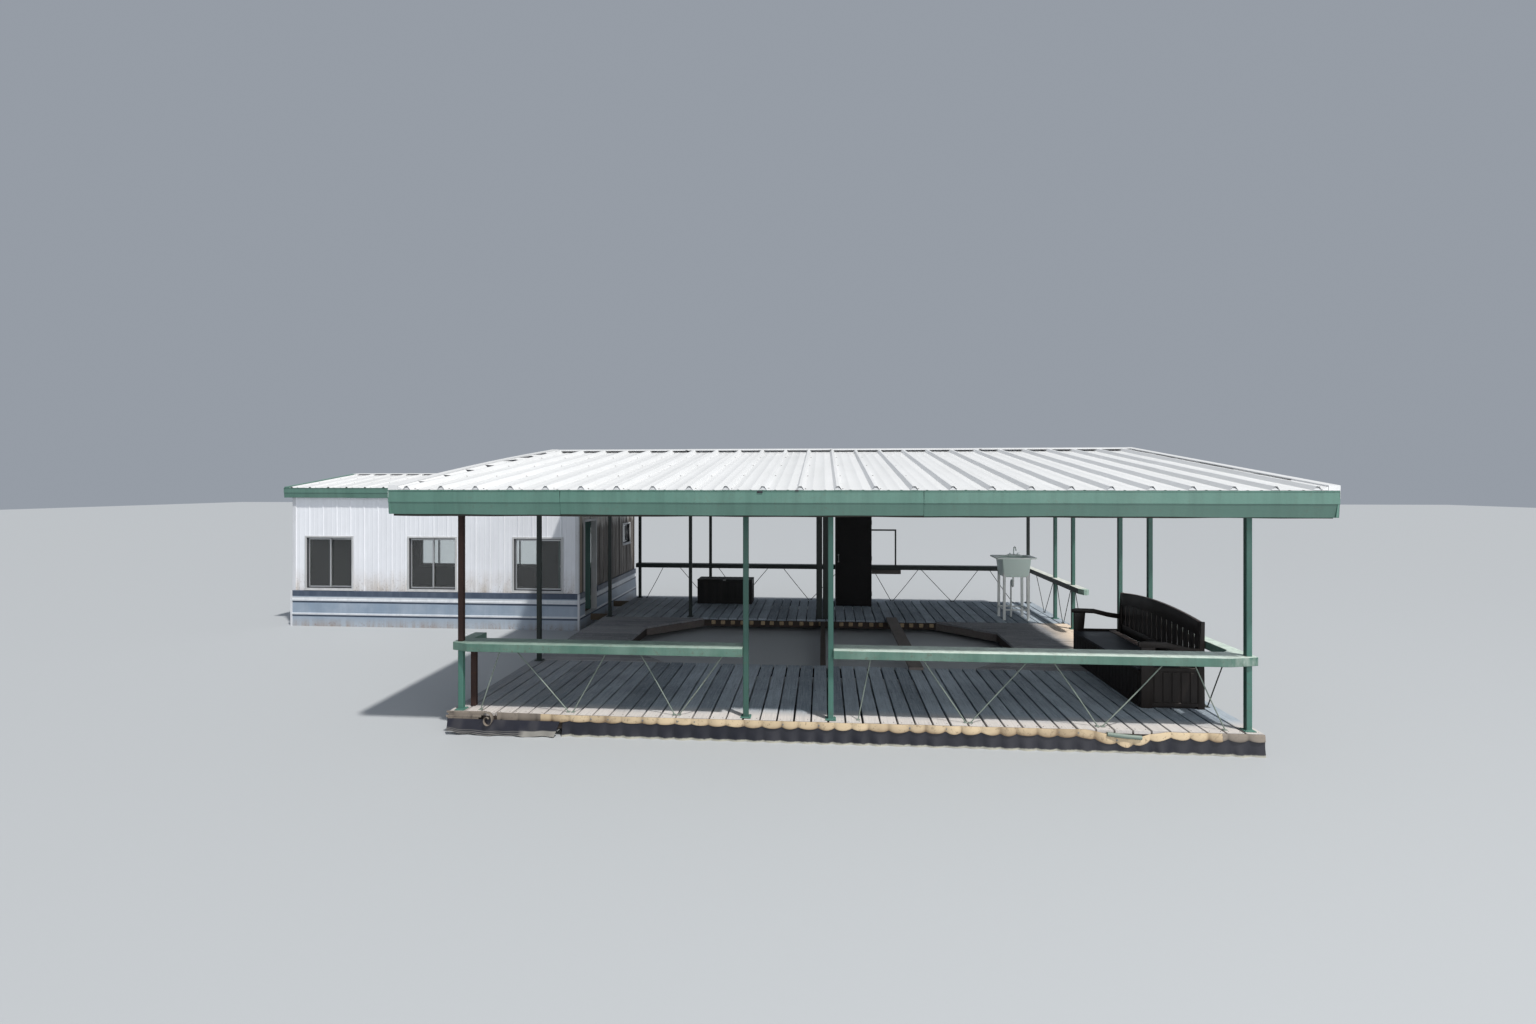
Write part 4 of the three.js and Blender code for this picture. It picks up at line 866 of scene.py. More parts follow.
# Posts, with their foot plates and bolts, and the beams on their heads
GATE_LEFT, GATE_RIGHT = -1.07, -0.07
PEELED = (-ROW_X, ROW_FRONT)  # the front left corner post, bare above its rail
POSTS = {  # node: [x, y] of each post
    "posts_front": [PEELED, (GATE_LEFT, ROW_FRONT), (GATE_RIGHT, ROW_FRONT), (ROW_X, ROW_FRONT)],
    "posts_back": [(-ROW_X, ROW_BACK), (-2.85, ROW_BACK), (0.70, ROW_BACK), (ROW_X, ROW_BACK)],
    "posts_left": [(-ROW_X, 2.40), (-ROW_X, 5.95)],
    "posts_right": [(ROW_X, 2.40), (ROW_X, 3.40), (ROW_X, 5.45), (ROW_X, 6.45)],
    "posts_inner": [(-2.90, 6.06), (-0.234, 6.06), (-0.102, 6.06)],
}
DOUBLE_POSTS = ((-0.234, 6.06), (-0.102, 6.06))
FOOT_THICK = 0.008


def plates(places, z, wide, thick, chamfer=0.002):
    """Square plates at one height."""
    return chamfered(at(*np.transpose(places), z), [wide, wide, thick], chamfer)


def post_fittings(places):
    """Square foot plates with a bolt near each corner and a weld bead round the post, and a thin plate
    between each post's head and its beam."""
    level = 0.0015 + FOOT_THICK / 2
    sides = (-0.046, 0.046)
    bolts = [(x + side_x, y + side_y) for x, y in places for side_x in sides for side_y in sides]
    return [plates(places, level, 0.124, FOOT_THICK), plates(places, BEAM_LOW - 0.005, 0.11, 0.010),
            plates(places, level + FOOT_THICK * 0.9, POST + 0.012, 0.008, 0.004),
            studs(at(*np.transpose(bolts), FOOT_THICK), (0, 0, 1), 0.009, 0.008)]


def post_shafts(places, low, high):
    sizes = [[0.12 if place in DOUBLE_POSTS else POST, POST, high - low] for place in places]
    return chamfered(at(*np.transpose(places), (low + high) / 2), sizes, 0.006)


def post_painted_shade_tones(points, places, dull):
    """Painted shade on each post's face toward the cabin, which turns darkest; the rest of the post is
    darkened as much as asked, and the post at the left of the gate is dark all round."""
    tones = np.zeros(len(points))
    for x, y in places:
        near = np.hypot(points[:, 0] - x, points[:, 1] - y) < 0.08
        tones[near] = 0.8 if (x, y) == (GATE_LEFT, ROW_FRONT) else dull
        # Painted shade on the face toward the cabin
        tones[near & (np.abs(points[:, 0] - (x - POST / 2)) < 1e-4)] = 1.1
    return tones


for name, places in POSTS.items():
    (left, front, _), (right, back, _) = local(name)
    whole = [place for place in places if place != PEELED]
    shapes = [block((left, right), (front, back), (BEAM_LOW, BEAM_HIGH), 0.008),
              post_shafts(whole, 0.0, BEAM_LOW), *post_fittings(places)]
    if PEELED in places:
        shapes.append(post_shafts([PEELED], 0.0, RAIL_TOP))
    steel = joined(shapes)
    # The rows under the roof take the near-black painted shade; the sunny rows stay green, with painted shade
    # by tone
    sunny = name in ("posts_front", "posts_right")
    placed(name + "_steel", steel, "post_green" if sunny else "post_dark", name,
           tones=post_painted_shade_tones(steel[0], places, 0.25 if name == "posts_right" else 0.0) if sunny else None)
placed("corner_post_bare", post_shafts([PEELED], RAIL_TOP, BEAM_LOW - 0.01), "peeled_brown",
       "posts_front")

# Rails and their rods
RAIL_X, RAIL_Y = 4.66, -0.03  # outer faces
IN_X, IN_Y = RAIL_X - 0.155, RAIL_Y + 0.31
CUT_LEFT, CUT_RIGHT, CUT_DEEP = 0.22, 0.33, 0.085
RAIL_BACK = ROW_BACK + ROW_FRONT - RAIL_Y
RETURN_END, STUB = 0.59, 4.85
left_stop, right_stop = GATE_LEFT - POST / 2, GATE_RIGHT + POST / 2
for name, finish, replaced, outline in (
    ("rail_front_left_member", "rail_green", "rail_front_left", [
        (-RAIL_X + CUT_LEFT, RAIL_Y), (left_stop, RAIL_Y), (left_stop, IN_Y), (-IN_X, IN_Y),
        (-IN_X, RETURN_END), (-RAIL_X, RETURN_END), (-RAIL_X, RAIL_Y + CUT_DEEP)]),
    ("rail_front_right_member", "rail_green", "rail_front_right", [
        (right_stop, RAIL_Y), (RAIL_X - CUT_RIGHT, RAIL_Y), (RAIL_X, RAIL_Y + CUT_DEEP), (RAIL_X, 2.48),
        (IN_X, 2.48), (IN_X, IN_Y + 0.09), (IN_X - 0.09, IN_Y), (right_stop, IN_Y)]),
    ("rail_back_end", "rail_end", "rail_back", [
        (IN_X, STUB + 0.15), (IN_X + 0.05, STUB), (RAIL_X - 0.05, STUB), (RAIL_X, STUB + 0.05),
        (RAIL_X, STUB + 0.15)]),
    # The back rail is laid in the near-black painted shade
    ("rail_back_member", "rail_dark", "rail_back", [
        (IN_X, STUB + 0.152), (RAIL_X, STUB + 0.152), (RAIL_X, RAIL_BACK), (-RAIL_X, RAIL_BACK),
        (-RAIL_X, RAIL_BACK - 0.2), (IN_X, RAIL_BACK - 0.2)]),
):
    placed(name, slab(outline, RAIL_LOW, RAIL_TOP), finish, replaced)
placed("rail_end_post", post_shafts([(-4.49, 0.245)], 0.0, RAIL_LOW + 0.01), "peeled_brown",
       "rail_front_left")


def rods(ends, line, turned=False):
    """Thin round rods from under a rail to the deck, each bent a little, with a flattened foot. ends holds
    [top, foot] places along the rail."""
    shapes = []
    t = np.linspace(0, 1, 9)
    for top, foot in ends:
        off = line + rng.normal(0, 0.004) * np.sin(np.pi * t)
        along = top + (foot - top) * t + rng.normal(0, 0.006) * np.sin(np.pi * t)
        path = at(along, off, RAIL_LOW + 0.01 - (RAIL_LOW + 0.002) * t)
        shapes.append(tube(path[:, [1, 0, 2]] if turned else path, 0.007, 8))
        shapes.append(plates([(line, foot) if turned else (foot, line)], 0.004, 0.045, 0.006))
    return joined(shapes)


FRONT_RODS = [
    (-4.08, -4.33), (-3.90, -3.23), (-2.75, -3.17), (-2.36, -1.93), (-1.33, -1.87), (0.40, 0.25),
    (0.98, 1.48), (2.20, 1.54), (2.45, 2.95), (3.69, 3.01), (4.00, 4.33),
]
RIGHT_RODS = [
    (0.50, 0.90), (1.50, 0.96), (1.70, 2.20), (5.34, 4.96), (5.56, 5.96), (6.34, 6.01),
    (6.56, 7.10), (7.70, 7.15),
]
BACK_RODS = [
    (-4.00, -4.40), (-3.60, -2.97), (-2.66, -2.12), (-1.46, -2.07), (-1.10, -0.50), (0.26, -0.44),
    (1.01, 1.43), (2.07, 1.48), (2.13, 2.83), (3.44, 2.88), (3.70, 4.22),
]
placed("rail_front_rods", rods(FRONT_RODS, ROW_FRONT), "rod_pale",
       "rail_front_left rail_front_right", smooth=50)
# The side and back rods take the near-black painted shade
placed("rail_other_rods", [rods(RIGHT_RODS, ROW_X, True), rods(BACK_RODS, ROW_BACK)], "rod_steel",
       "rail_front_right rail_back", smooth=50)

# Back rail: a thin square bracket on it and an old board under it
BAR = np.array([-0.018, 0.018])
LEFT_BAR, RIGHT_BAR, BRACKET_TOP, BRACKET_Y = 0.93, 1.544, 1.68, 8.33
# The bracket takes the posts' near-black painted shade
placed("rail_bracket", [
    block(LEFT_BAR + BAR, BRACKET_Y + BAR, (RAIL_TOP, BRACKET_TOP), 0.003),
    block(RIGHT_BAR + BAR, BRACKET_Y + BAR, (RAIL_TOP, BRACKET_TOP), 0.003),
    block((LEFT_BAR + BAR[0], RIGHT_BAR + BAR[0]), BRACKET_Y + BAR,
          (BRACKET_TOP - 0.036, BRACKET_TOP), 0.003),
], "post_dark")
placed("rail_under_board", [
    block((0.985, 1.66), (8.245, 8.285), (RAIL_LOW - 0.100, RAIL_LOW - 0.002), 0.006),
    block((0.99, 1.65), (8.288, 8.335), (RAIL_LOW - 0.092, RAIL_LOW - 0.002), 0.006),
], "old_board")

# Roofs


def rib_middles(low, high, pitch, foot):
    count = math.floor((high - low - foot) / pitch)
    return (low + high - count * pitch) / 2 + pitch * np.arange(count + 1)


def ribbed_line(low, high, middles, foot, top, rib, minor=0.004):
    """Places and heights across a ribbed sheet: a trapezoid at each rib middle, and two low ones
    between."""
    pitch = middles[1] - middles[0]
    minors = (np.append(middles[0] - pitch, middles)[:, None] + pitch * np.array([1, 2]) / 3).ravel()
    places = np.concatenate([
        [low, high], (middles[:, None] + np.array([-foot, -top, top, foot]) / 2).ravel(),
        (minors[:, None] + [-0.016, -0.007, 0.007, 0.016]).ravel()])
    places = np.unique(np.round(places[(places >= low) & (places <= high)], 5))
    away = lambda share: np.abs((places - middles[0] + (0.5 - share) * pitch) % pitch - pitch / 2)
    height = rib * np.clip((foot / 2 - away(0)) / ((foot - top) / 2), 0, 1)
    for share in (1 / 3, 2 / 3):
        height = np.maximum(height, minor * np.clip((0.016 - away(share)) / 0.009, 0, 1))
    return places, height


class Roof:
    """A gable roof of ribbed sheet: left and right ends, front eave, ridge, back eave, level of its
    underside at the eaves and its rise, height of the pan and of the ribs over it, and the ribs' width at
    foot and top. On its slopes, way is 1 for the front one and -1 for the back one."""

    def __init__(self, **sizes):
        vars(self).update(sizes)
        self.run = self.ridge - self.eave
        self.angle, self.slope = math.atan2(self.rise, self.run), math.hypot(self.rise, self.run)
        self.ribs = rib_middles(self.left, self.right, 0.4064, self.foot)

    def under(self, y):
        """Height of the roof's underside over a place y: it falls evenly from the ridge to both eaves."""
        return self.level + self.rise * (1 - np.abs(np.asarray(y, float) - self.ridge) / self.run)

    def on(self, x, s, h, way):
        """Points by x, distance s up the slope from the eave and height h square to it."""
        out = s * math.cos(self.angle) - h * math.sin(self.angle)
        up = self.level + s * math.sin(self.angle) + h * math.cos(self.angle)
        return at(x, self.eave + out if way > 0 else self.back - out, up)

    def ribbed(self, way, thick=0.0014):
        """A ribbed sheet laid up one slope: the ribbed line carried from eave to ridge, lifted here and
        there by a slow ripple, with its own underside a sheet's thickness below."""
        x, height = ribbed_line(self.left, self.right, self.ribs, self.foot, self.top, self.rib)
        s = np.linspace(0.001, self.slope - 0.004, 22)[:, None]
        phase = np.random.default_rng(20 + way).random(4) * 6
        ripple = 0.0013 * np.sin(5.1 * s + phase[0] + 2.3 * x) * np.sin(7.7 * x + phase[1] + 0.9 * s)
        top = self.pan + height + ripple
        return sheet(self.on(x, s, top, way), self.on(x, s, top - thick, way))

    def screws(self, rows, way):
        """A washer and a head beside each rib in each row up the slope."""
        x, s = np.meshgrid(self.ribs + 0.055, rows, indexing="ij")
        places = self.on(x.ravel(), s.ravel() + rng.normal(0, 0.01, x.size), self.pan + 0.0005, way)
        normal = (0, -way * math.sin(self.angle), math.cos(self.angle))
        return joined([studs(places, normal, 0.011, 0.002, 8), studs(places, normal, 0.006, 0.007)])

    def cap(self, half, laps):
        """A bent band over the ribs: two slopes that meet in a soft ridge, with a turned-down hem at each
        edge, in lengths that lap. Its underside is the same line moved along its own normals."""
        rest = (self.pan + self.rib) / math.cos(self.angle)
        low, high = self.under([self.ridge - half, self.ridge]) + rest
        ends = np.linspace(self.left, self.right, laps + 1)
        shapes = []
        for i in range(laps):
            y = np.array([-half, -half, -0.03, 0.0, 0.03, half, half])
            z = [low - 0.010, low + 0.003, high - 0.003, high + 0.002, high - 0.003, low + 0.003, low - 0.010]
            line = np.stack([y, np.array(z) + 0.0022 * (i % 2) + 0.001], 1)
            normal = unit(np.gradient(line, axis=0))[:, ::-1] * [-1, 1]
            section = np.vstack([line, (line - normal * 0.0016)[::-1]])
            x = [[ends[i] - (0.04 if i else 0)], [ends[i + 1]]]
            shapes.append(loft(at(x, self.ridge + section[:, 0], section[:, 1])))
        return joined(shapes)

    def painted_shade_blocks(self, half, way):
        """Painted shade for the gaps under a ridge cap's edge: a dark closed block on the slope between each
        two ribs.
        """
        s = self.slope - half / math.cos(self.angle) + np.array([-0.008, 0.03, 0.03, -0.008])
        up = self.pan + self.rib * np.array([0.0, 0.0, 1.0, 1.0])
        return joined([loft(self.on([[a + 0.075], [b - 0.060]], s, up, way))
                       for a, b in zip(self.ribs, self.ribs[1:])])

    def rib_ends(self, way):
        """The folded-down end of each rib at an eave: a closed wedge that fills the rib's section and
        slopes forward."""
        across = np.array([-self.foot, -self.top, self.top, self.foot]) / 2
        high = np.array([0.0, self.rib - 0.002, self.rib - 0.002, 0.0]) * [[1.0], [0.45]]
        s = np.array([[0.05], [0.004]])
        return joined([loft(self.on(x + across, s, self.pan + high, way)) for x in self.ribs])

    def strip(self, section, from_y, to_y, bow=0.0):
        """A strip that follows the gable: a closed section [x, height above the roof's underside] carried
        from front to back, in even steps that include the ridge. On the front slope, what stands more than
        20 mm up is lifted by bow * sin(pi * share of the slope)."""
        x, up = np.transpose(section)
        y = np.unique([*np.linspace(from_y, self.ridge, 9), *np.linspace(self.ridge, to_y, 9)])[:, None]
        share = np.clip((y - self.eave) / self.run, 0, 1)
        return loft(at(x, y, self.under(y) + up + bow * np.sin(np.pi * share) * (up > 0.02)))


def from_edge(edge, way, rows):
    """A section given by distances in from an edge."""
    return [(edge - way * x, z) for x, z in rows]


def lapped_fascia(face, inward, top, height, thick, spans, seed):
    """A sheet fascia along an eave: a thin lip at its head, an upper plate that leans out to its lower edge
    and laps over a lower plate, which leans back, and a flange turned in at its foot. Its section is
    carried along x, where its face and its lower edge waver by sines of a few millimetres."""
    local_rng = np.random.default_rng(seed)
    lap, bottom = top - 0.5 * height, top - height
    line = np.array([(thick, top - 0.001), (0.0, top), (0.0, top - 0.010), (0.005, top - 0.013),
                     (0.001, lap + 0.003), (0.002, lap), (0.0075, lap - 0.001), (0.008, lap - 0.005),
                     (0.017, bottom + 0.004), (0.019, bottom), (thick, bottom + 0.001)])
    inner = line[::-1] + [0.0018, 0.0]
    inner[0], inner[-1] = (thick, bottom + 0.0026), (thick, top - 0.0026)
    inner[1:3, 1] += [0.002, 0.001]
    inner[-2:-5:-1, 1] -= [0.002, 0.0015, 0.001]
    out, z = np.vstack([line, inner]).T
    share = np.clip((top - z) / height, 0, 1)
    shapes = []
    for low, high in spans:
        x = np.linspace(low, high, max(3, int((high - low) / 0.15)))[:, None]
        phase = local_rng.random(4) * 6
        waver = 0.0012 * np.sin(2.9 * x + phase[0]) + 0.0007 * np.sin(7.3 * x + phase[1])
        dip = 0.003 * np.sin(1.7 * x + phase[2]) + 0.0016 * np.sin(6.1 * x + phase[3])
        shapes.append(loft(at(x, face + inward * (out + waver), z + dip * share)))
    return joined(shapes)


ROOF = Roof(left=-5.1, right=5.1, eave=-0.54, ridge=4.2, back=8.94, level=2.691, rise=0.64, pan=0.002,
            rib=0.043, foot=0.088, top=0.030)
CABIN_ROOF = Roof(left=-11.46, right=-5.13, eave=5.64, ridge=7.8, back=9.96, level=2.61, rise=0.31, pan=0.060,
                  rib=0.022, foot=0.056, top=0.024)
CABIN_CAP = 0.15
for roof, prefix, rows, half, laps in ((ROOF, "", [0.09, 1.23, 2.43, 3.63, 4.70], 0.19, 4),
                                       (CABIN_ROOF, "cabin_", [0.09, 0.74, 1.40, 2.02], CABIN_CAP, 3)):
    for side, way in (("front", 1), ("back", -1)):
        name = f"{prefix}roof_{side}"
        placed(name + "_sheet", roof.ribbed(way), "roof_white", name, smooth=25)
        placed(name + "_screws", roof.screws(rows, way), "hardware", smooth=40)
    placed(f"{prefix}ridge_cap_band", roof.cap(half, laps), "roof_white",
           f"{prefix}ridge_cap", smooth=25)
# Painted shade: dark blocks in the rib gaps under the cabin's ridge cap
placed("cabin_ridge_painted_shade", [CABIN_ROOF.painted_shade_blocks(CABIN_CAP, way) for way in (1, -1)], "gasket")
placed("roof_rib_ends", [ROOF.rib_ends(way) for way in (1, -1)], "roof_white")

# Fascias of the deck's roof, and a dark board under the front one, its near-black painted shade
FASCIA_HIGH, FASCIA_THICK = 0.275, 0.040
FASCIA_TOP = ROOF.level - 0.001
spans = [(-5.1, -3.090), (-3.086, 0.914), (0.918, 5.098)]
fascia = lapped_fascia(ROOF.eave + 0.002, 1, FASCIA_TOP, FASCIA_HIGH, FASCIA_THICK, spans, 31)
# Painted shade on the front fascia's lower plate, which leans back: darker, more so towards the right
lower_plate = fascia[0][:, 2] < FASCIA_TOP - 0.5 * FASCIA_HIGH - 0.0005
placed("fascia_front_sheet", fascia, "fascia_green", "fascia_front", smooth=12,
       tones=np.interp(fascia[0][:, 0], [-5.1, -1.0, 5.1], [0.15, 0.5, 0.75]) * lower_plate)
spans = [(-high, -low) for low, high in spans[::-1]]
fascia = lapped_fascia(ROOF.back - 0.002, -1, FASCIA_TOP, FASCIA_HIGH, FASCIA_THICK, spans, 32)
placed("fascia_back_sheet", fascia, "fascia_green", "fascia_back", smooth=12)
x = np.linspace(ROOF.left + 0.043, ROOF.right - 0.043, 60)
foot = FASCIA_TOP - FASCIA_HIGH - np.interp(x, [-5, 0, 5], [0.022, 0.016, 0.011])
foot += 0.0035 * np.sin(5.1 * x) * np.sin(1.7 * x + 1.0)
# Painted shade: a near-black board under the fascia's foot
backing = slab(band(x, foot, foot + 0.075), ROOF.eave + 0.043, ROOF.eave + 0.062, 0.003, 1)
placed("fascia_backing", backing, "backing_wood")
MARK_Y = (ROOF.eave - 0.001, ROOF.eave + 0.012)
placed("fascia_marks", [
    block((-0.876, -0.816), MARK_Y, (FASCIA_TOP - 0.030, FASCIA_TOP - 0.006), 0.002),
    block((-0.462, -0.422), MARK_Y, (FASCIA_TOP - 0.012, FASCIA_TOP + 0.004), 0.002),
], "gasket")

# Gable ends: a board, a white trim bent over the sheet's edge, plugs in its ends, and under its edge a dark
# strip, painted shade for the gap there, white towards the eave
RAKE_FROM, RAKE_TO = ROOF.eave + 0.008, ROOF.back - 0.008
T = 0.002  # the trim's thickness
RAKE_BOARD = [(0.018, -FASCIA_HIGH), (0.010, -0.145), (0.003, -0.138), (0.003, -0.001), (0.020, -0.001),
              (0.024, -0.14), (FASCIA_THICK, -FASCIA_HIGH + 0.004), (FASCIA_THICK, -FASCIA_HIGH)]
RAKE_TRIM = [(0, -0.085), (0, 0.053), (0.115, 0.053), (0.115, 0.040), (0.115 - T, 0.040),
             (0.115 - T, 0.053 - T), (T, 0.053 - T), (T, -0.085)]
RAKE_PLUG = [(0.001, 0.0), (0.001, 0.0525), (0.114, 0.0525), (0.114, 0.0)]
RAKE_GAP_SHADE = [(0.1165, 0.004), (0.168, 0.004), (0.168, 0.014), (0.1165, 0.0395)]
for name, way, edge, dark_from, bow in (("left", -1, ROOF.left, ROOF.eave + 0.40, 0.026),
                                        ("right", 1, ROOF.right, ROOF.eave + 0.55, 0.0)):
    board, trim, plug, gap_shade = (from_edge(edge, way, rows)
                                  for rows in (RAKE_BOARD, RAKE_TRIM, RAKE_PLUG, RAKE_GAP_SHADE))
    placed(f"fascia_{name}_board", ROOF.strip(board, RAKE_FROM, RAKE_TO), "fascia_green",
           f"fascia_{name}")
    plugs = [ROOF.strip(plug, RAKE_FROM - 0.005, RAKE_FROM + 0.03),
             ROOF.strip(plug, RAKE_TO - 0.03, RAKE_TO + 0.005)]
    for piece, shape, finish in (
        ("plugs", plugs, "roof_white"),
        ("trim", ROOF.strip(trim, RAKE_FROM - 0.004, RAKE_TO + 0.004, bow), "roof_white"),
        # Painted shade in the gap under the trim's edge, white near the eave
        ("gap_shade", ROOF.strip(gap_shade, dark_from, ROOF.ridge - 0.2, bow), "gasket"),
        ("gap_foot_white", ROOF.strip(gap_shade, ROOF.eave + 0.006, dark_from - 0.002, bow), "roof_white"),
    ):
        placed(f"rake_{piece}_{name}", shape, finish)

# Cabin walls
LEFT, RIGHT, FRONT, BACK = -11.36, -5.16, 5.7, 9.9
WALL, WALL_RIB = 0.10, 0.010
WINDOWS = [(middle - 0.54, middle + 0.54, 0.515, 1.655) for middle in (-10.555, -8.285, -6.015)]
SMALL_WINDOW = (8.77, 9.47, 1.22, 1.76)
DOOR_FROM, DOOR_TO, DOOR_HIGH, JAMB = 6.06, 6.76, 1.95, 0.05
EAVE_WALL_TOP = float(CABIN_ROOF.under(FRONT - WALL_RIB)) - 0.002
WALLS = {  # name: axis that the wall runs along, place of its outer face, way out
    "front": (0, FRONT, -1), "back": (0, BACK, 1), "left": (1, LEFT, -1), "right": (1, RIGHT, 1),
}


def wall_point(wall, along, out, z):
    """A point on a wall by its distance along it, its distance out from the wall's face, and its height."""
    axis, face, way = wall
    across = face + way * np.asarray(out, float)
    return at(across, along, z) if axis else at(along, across, z)


def wall_skin(wall, low, high, foot, head, ends):
    """Ribbed sheet over one stretch of a wall, 1.2 mm thick. foot and head are functions of the place along
    the wall; ends are the whole wall's ends, which set where its ribs fall."""
    places, height = ribbed_line(low, high, rib_middles(*ends, 0.3048, 0.040), 0.040, 0.020, WALL_RIB, 0.0025)
    share = np.linspace(0, 1, 5)[:, None]
    z = foot(places) * (1 - share) + head(places) * share
    return sheet(wall_point(wall, places, height, z), wall_point(wall, places, height - 0.0012, z))


def wall_box(wall, along, out, z, chamfer=0.002):
    """A box on a wall: [from, to] along it, out from its face, and in height."""
    return block(*wall_point(wall, along, out, z).T, chamfer)


def level(height):
    return lambda place: np.full(np.shape(place), height)


def stretches(ends, holes, foot, head):
    """Cuts a wall into plain stretches round its holes: (from, to, foot, head) for each."""
    parts, start = [], ends[0]
    for low, high, bottom, top in sorted(holes):
        parts.append((start, low, foot, head))
        if bottom:
            parts.append((low, high, foot, level(bottom)))
        parts.append((low, high, level(top), head))
        start = high
    return [*parts, (start, ends[1], foot, head)]


def four_bars(along, z, wide):
    """[from, to] and [low, high] of four bars round an oblong, the level ones over its whole width."""
    (a, b), (low, high) = along, z
    return [((a, b), (high - wide, high)), ((a, b), (low, low + wide)),
            ((a, a + wide), (low + wide, high - wide)), ((b - wide, b), (low + wide, high - wide))]


def window(wall, left, right, low, high):
    """Frame, seal, sashes and panes of a sliding window. The right-hand sash runs in the inner track."""
    frame_wide, seal_wide, stile, sill = 0.036, 0.014, 0.030, 0.012
    bars = lambda along, z, wide, out, chamfer=0.002: [
        wall_box(wall, a, out, b, chamfer) for a, b in four_bars(along, z, wide)]
    frame_parts = bars((left, right), (low, high), frame_wide, (-WALL, 0.018))
    frame_parts.append(wall_box(wall, (left - sill, right + sill), (0.0, 0.034), (low - sill, low + 0.006)))
    left, right, low, high = left + frame_wide, right - frame_wide, low + frame_wide, high - frame_wide
    seal_parts = bars((left, right), (low, high), seal_wide, (-0.075, -0.004), 0.001)
    left, right, low, high = left + seal_wide, right - seal_wide, low + seal_wide, high - seal_wide
    middle, lap = (left + right) / 2, stile - 0.006
    sash_parts, panes = [], []
    for start, end, out in ((left, middle + 0.018, -0.030), (middle - 0.018, right, -0.056)):
        sash_parts += bars((start, end), (low, high), stile, (out - 0.018, out))
        panes.append(wall_box(wall, (start + lap, end - lap), (out - 0.011, out - 0.007),
                              (low + lap, high - lap), 0.0008))
    return joined(frame_parts), joined(seal_parts), joined(sash_parts), joined(panes)


for name, wall in WALLS.items():
    long_wall = name in ("front", "back")
    ends = (LEFT, RIGHT) if long_wall else (FRONT + 0.002, BACK - 0.002)
    head = level(EAVE_WALL_TOP) if long_wall else lambda y: CABIN_ROOF.under(y) - 0.002
    windows = {"left": [], "right": [SMALL_WINDOW]}.get(name, WINDOWS)
    shaded = name == "right"
    holes = windows + ([(DOOR_FROM - JAMB, DOOR_TO + JAMB, None, DOOR_HIGH + JAMB)] if shaded else [])
    parts = []
    for low, high, foot, top in stretches(ends, holes, level(0.001), head):
        cuts = [CABIN_ROOF.ridge] if not long_wall and low < CABIN_ROOF.ridge < high else []
        parts += [(a, b, foot, top) for a, b in zip([low, *cuts], [*cuts, high])]
    skin = [wall_skin(wall, *part, ends) for part in parts]
    node_name = "cabin_wall_" + name
    placed("cabin_siding_" + name, skin, "siding_dirt_and_painted_shadow" if shaded else "siding_white",
           node_name)
    lining, inset = [], 0.0 if long_wall else 0.10
    for low, high, foot, top in parts:
        a, b = max(low, ends[0] + inset), min(high, ends[1] - inset)
        along = np.array([a, b, b, a])
        lining.append(loft([wall_point(wall, along, [-0.098, -0.098, -0.012, -0.012], edge(along))
                            for edge in (foot, top)]))
    # The lining is near-black: painted shade inside the rooms
    placed("cabin_lining_" + name, lining, "room_lining", node_name)
    if not windows:
        continue
    frames, seals, sashes, panes = map(list, zip(*[window(wall, *hole) for hole in windows]))
    placed("window_frames_" + name, frames, "window_metal", node_name)
    placed("window_gaskets_" + name, seals, "gasket", node_name)
    placed("window_sashes_" + name, sashes, "sash_metal", node_name)
    for i, pane in enumerate(panes, 1):
        placed(f"window_panes_{name}_{i}", pane, "window_glass",
               "glass_right" if name == "right" else f"glass_{name}_{i}")

# Two bent strips at each corner
CABIN_CORNERS = [(x, y, way_x, way_y) for x, way_x in ((LEFT, -1), (RIGHT, 1))
                 for y, way_y in ((FRONT, -1), (BACK, 1))]
# In along the wall, out to its ribs, and a strip over them
OUT = np.array([-0.06, WALL_RIB + 0.001, WALL_RIB + 0.0025])
TRIM_Z = (0.47, EAVE_WALL_TOP - 0.01)
trims = []
for x, y, way_x, way_y in CABIN_CORNERS:
    trims.append(block(x + way_x * OUT[[0, 1]], y + way_y * OUT[[1, 2]], TRIM_Z, 0.0005))
    trims.append(block(x + way_x * OUT[[1, 2]], y + way_y * OUT[[0, 2]], TRIM_Z, 0.0005))
placed("cabin_corner_trims", trims, "corner_trim")

# Doorway: jambs and head, and the leaf, built shut and then turned open about its pin
RIGHT_WALL = WALLS["right"]
placed("doorway_frame", [
    wall_box(RIGHT_WALL, (DOOR_FROM - JAMB, DOOR_FROM), (-WALL, 0.020), (0.001, DOOR_HIGH + JAMB), 0.003),
    wall_box(RIGHT_WALL, (DOOR_TO, DOOR_TO + JAMB), (-WALL, 0.020), (0.001, DOOR_HIGH + JAMB), 0.003),
    wall_box(RIGHT_WALL, (DOOR_FROM, DOOR_TO), (-WALL, 0.020), (DOOR_HIGH, DOOR_HIGH + JAMB), 0.003),
    wall_box(RIGHT_WALL, (DOOR_FROM, DOOR_TO), (-WALL, 0.012), (0.0008, 0.008), 0.001),
], "window_metal", "cabin_wall_right")
PIN = np.array([RIGHT - WALL - 0.002, DOOR_TO - 0.003, 0.0])
LEAF_X = (0.004, 0.044)  # both faces, from the pin
LEAF_WIDE, LEAF_LOW, LEAF_HIGH, DOOR_OPEN = 0.688, 0.010, 1.944, 80


def leaf_box(x, along, z, chamfer):
    """A box on the door while it is shut: x from the pin through the leaf, along from the hinged edge."""
    return block(x, (-along[0] - 0.003, -along[1] - 0.003), z, chamfer)


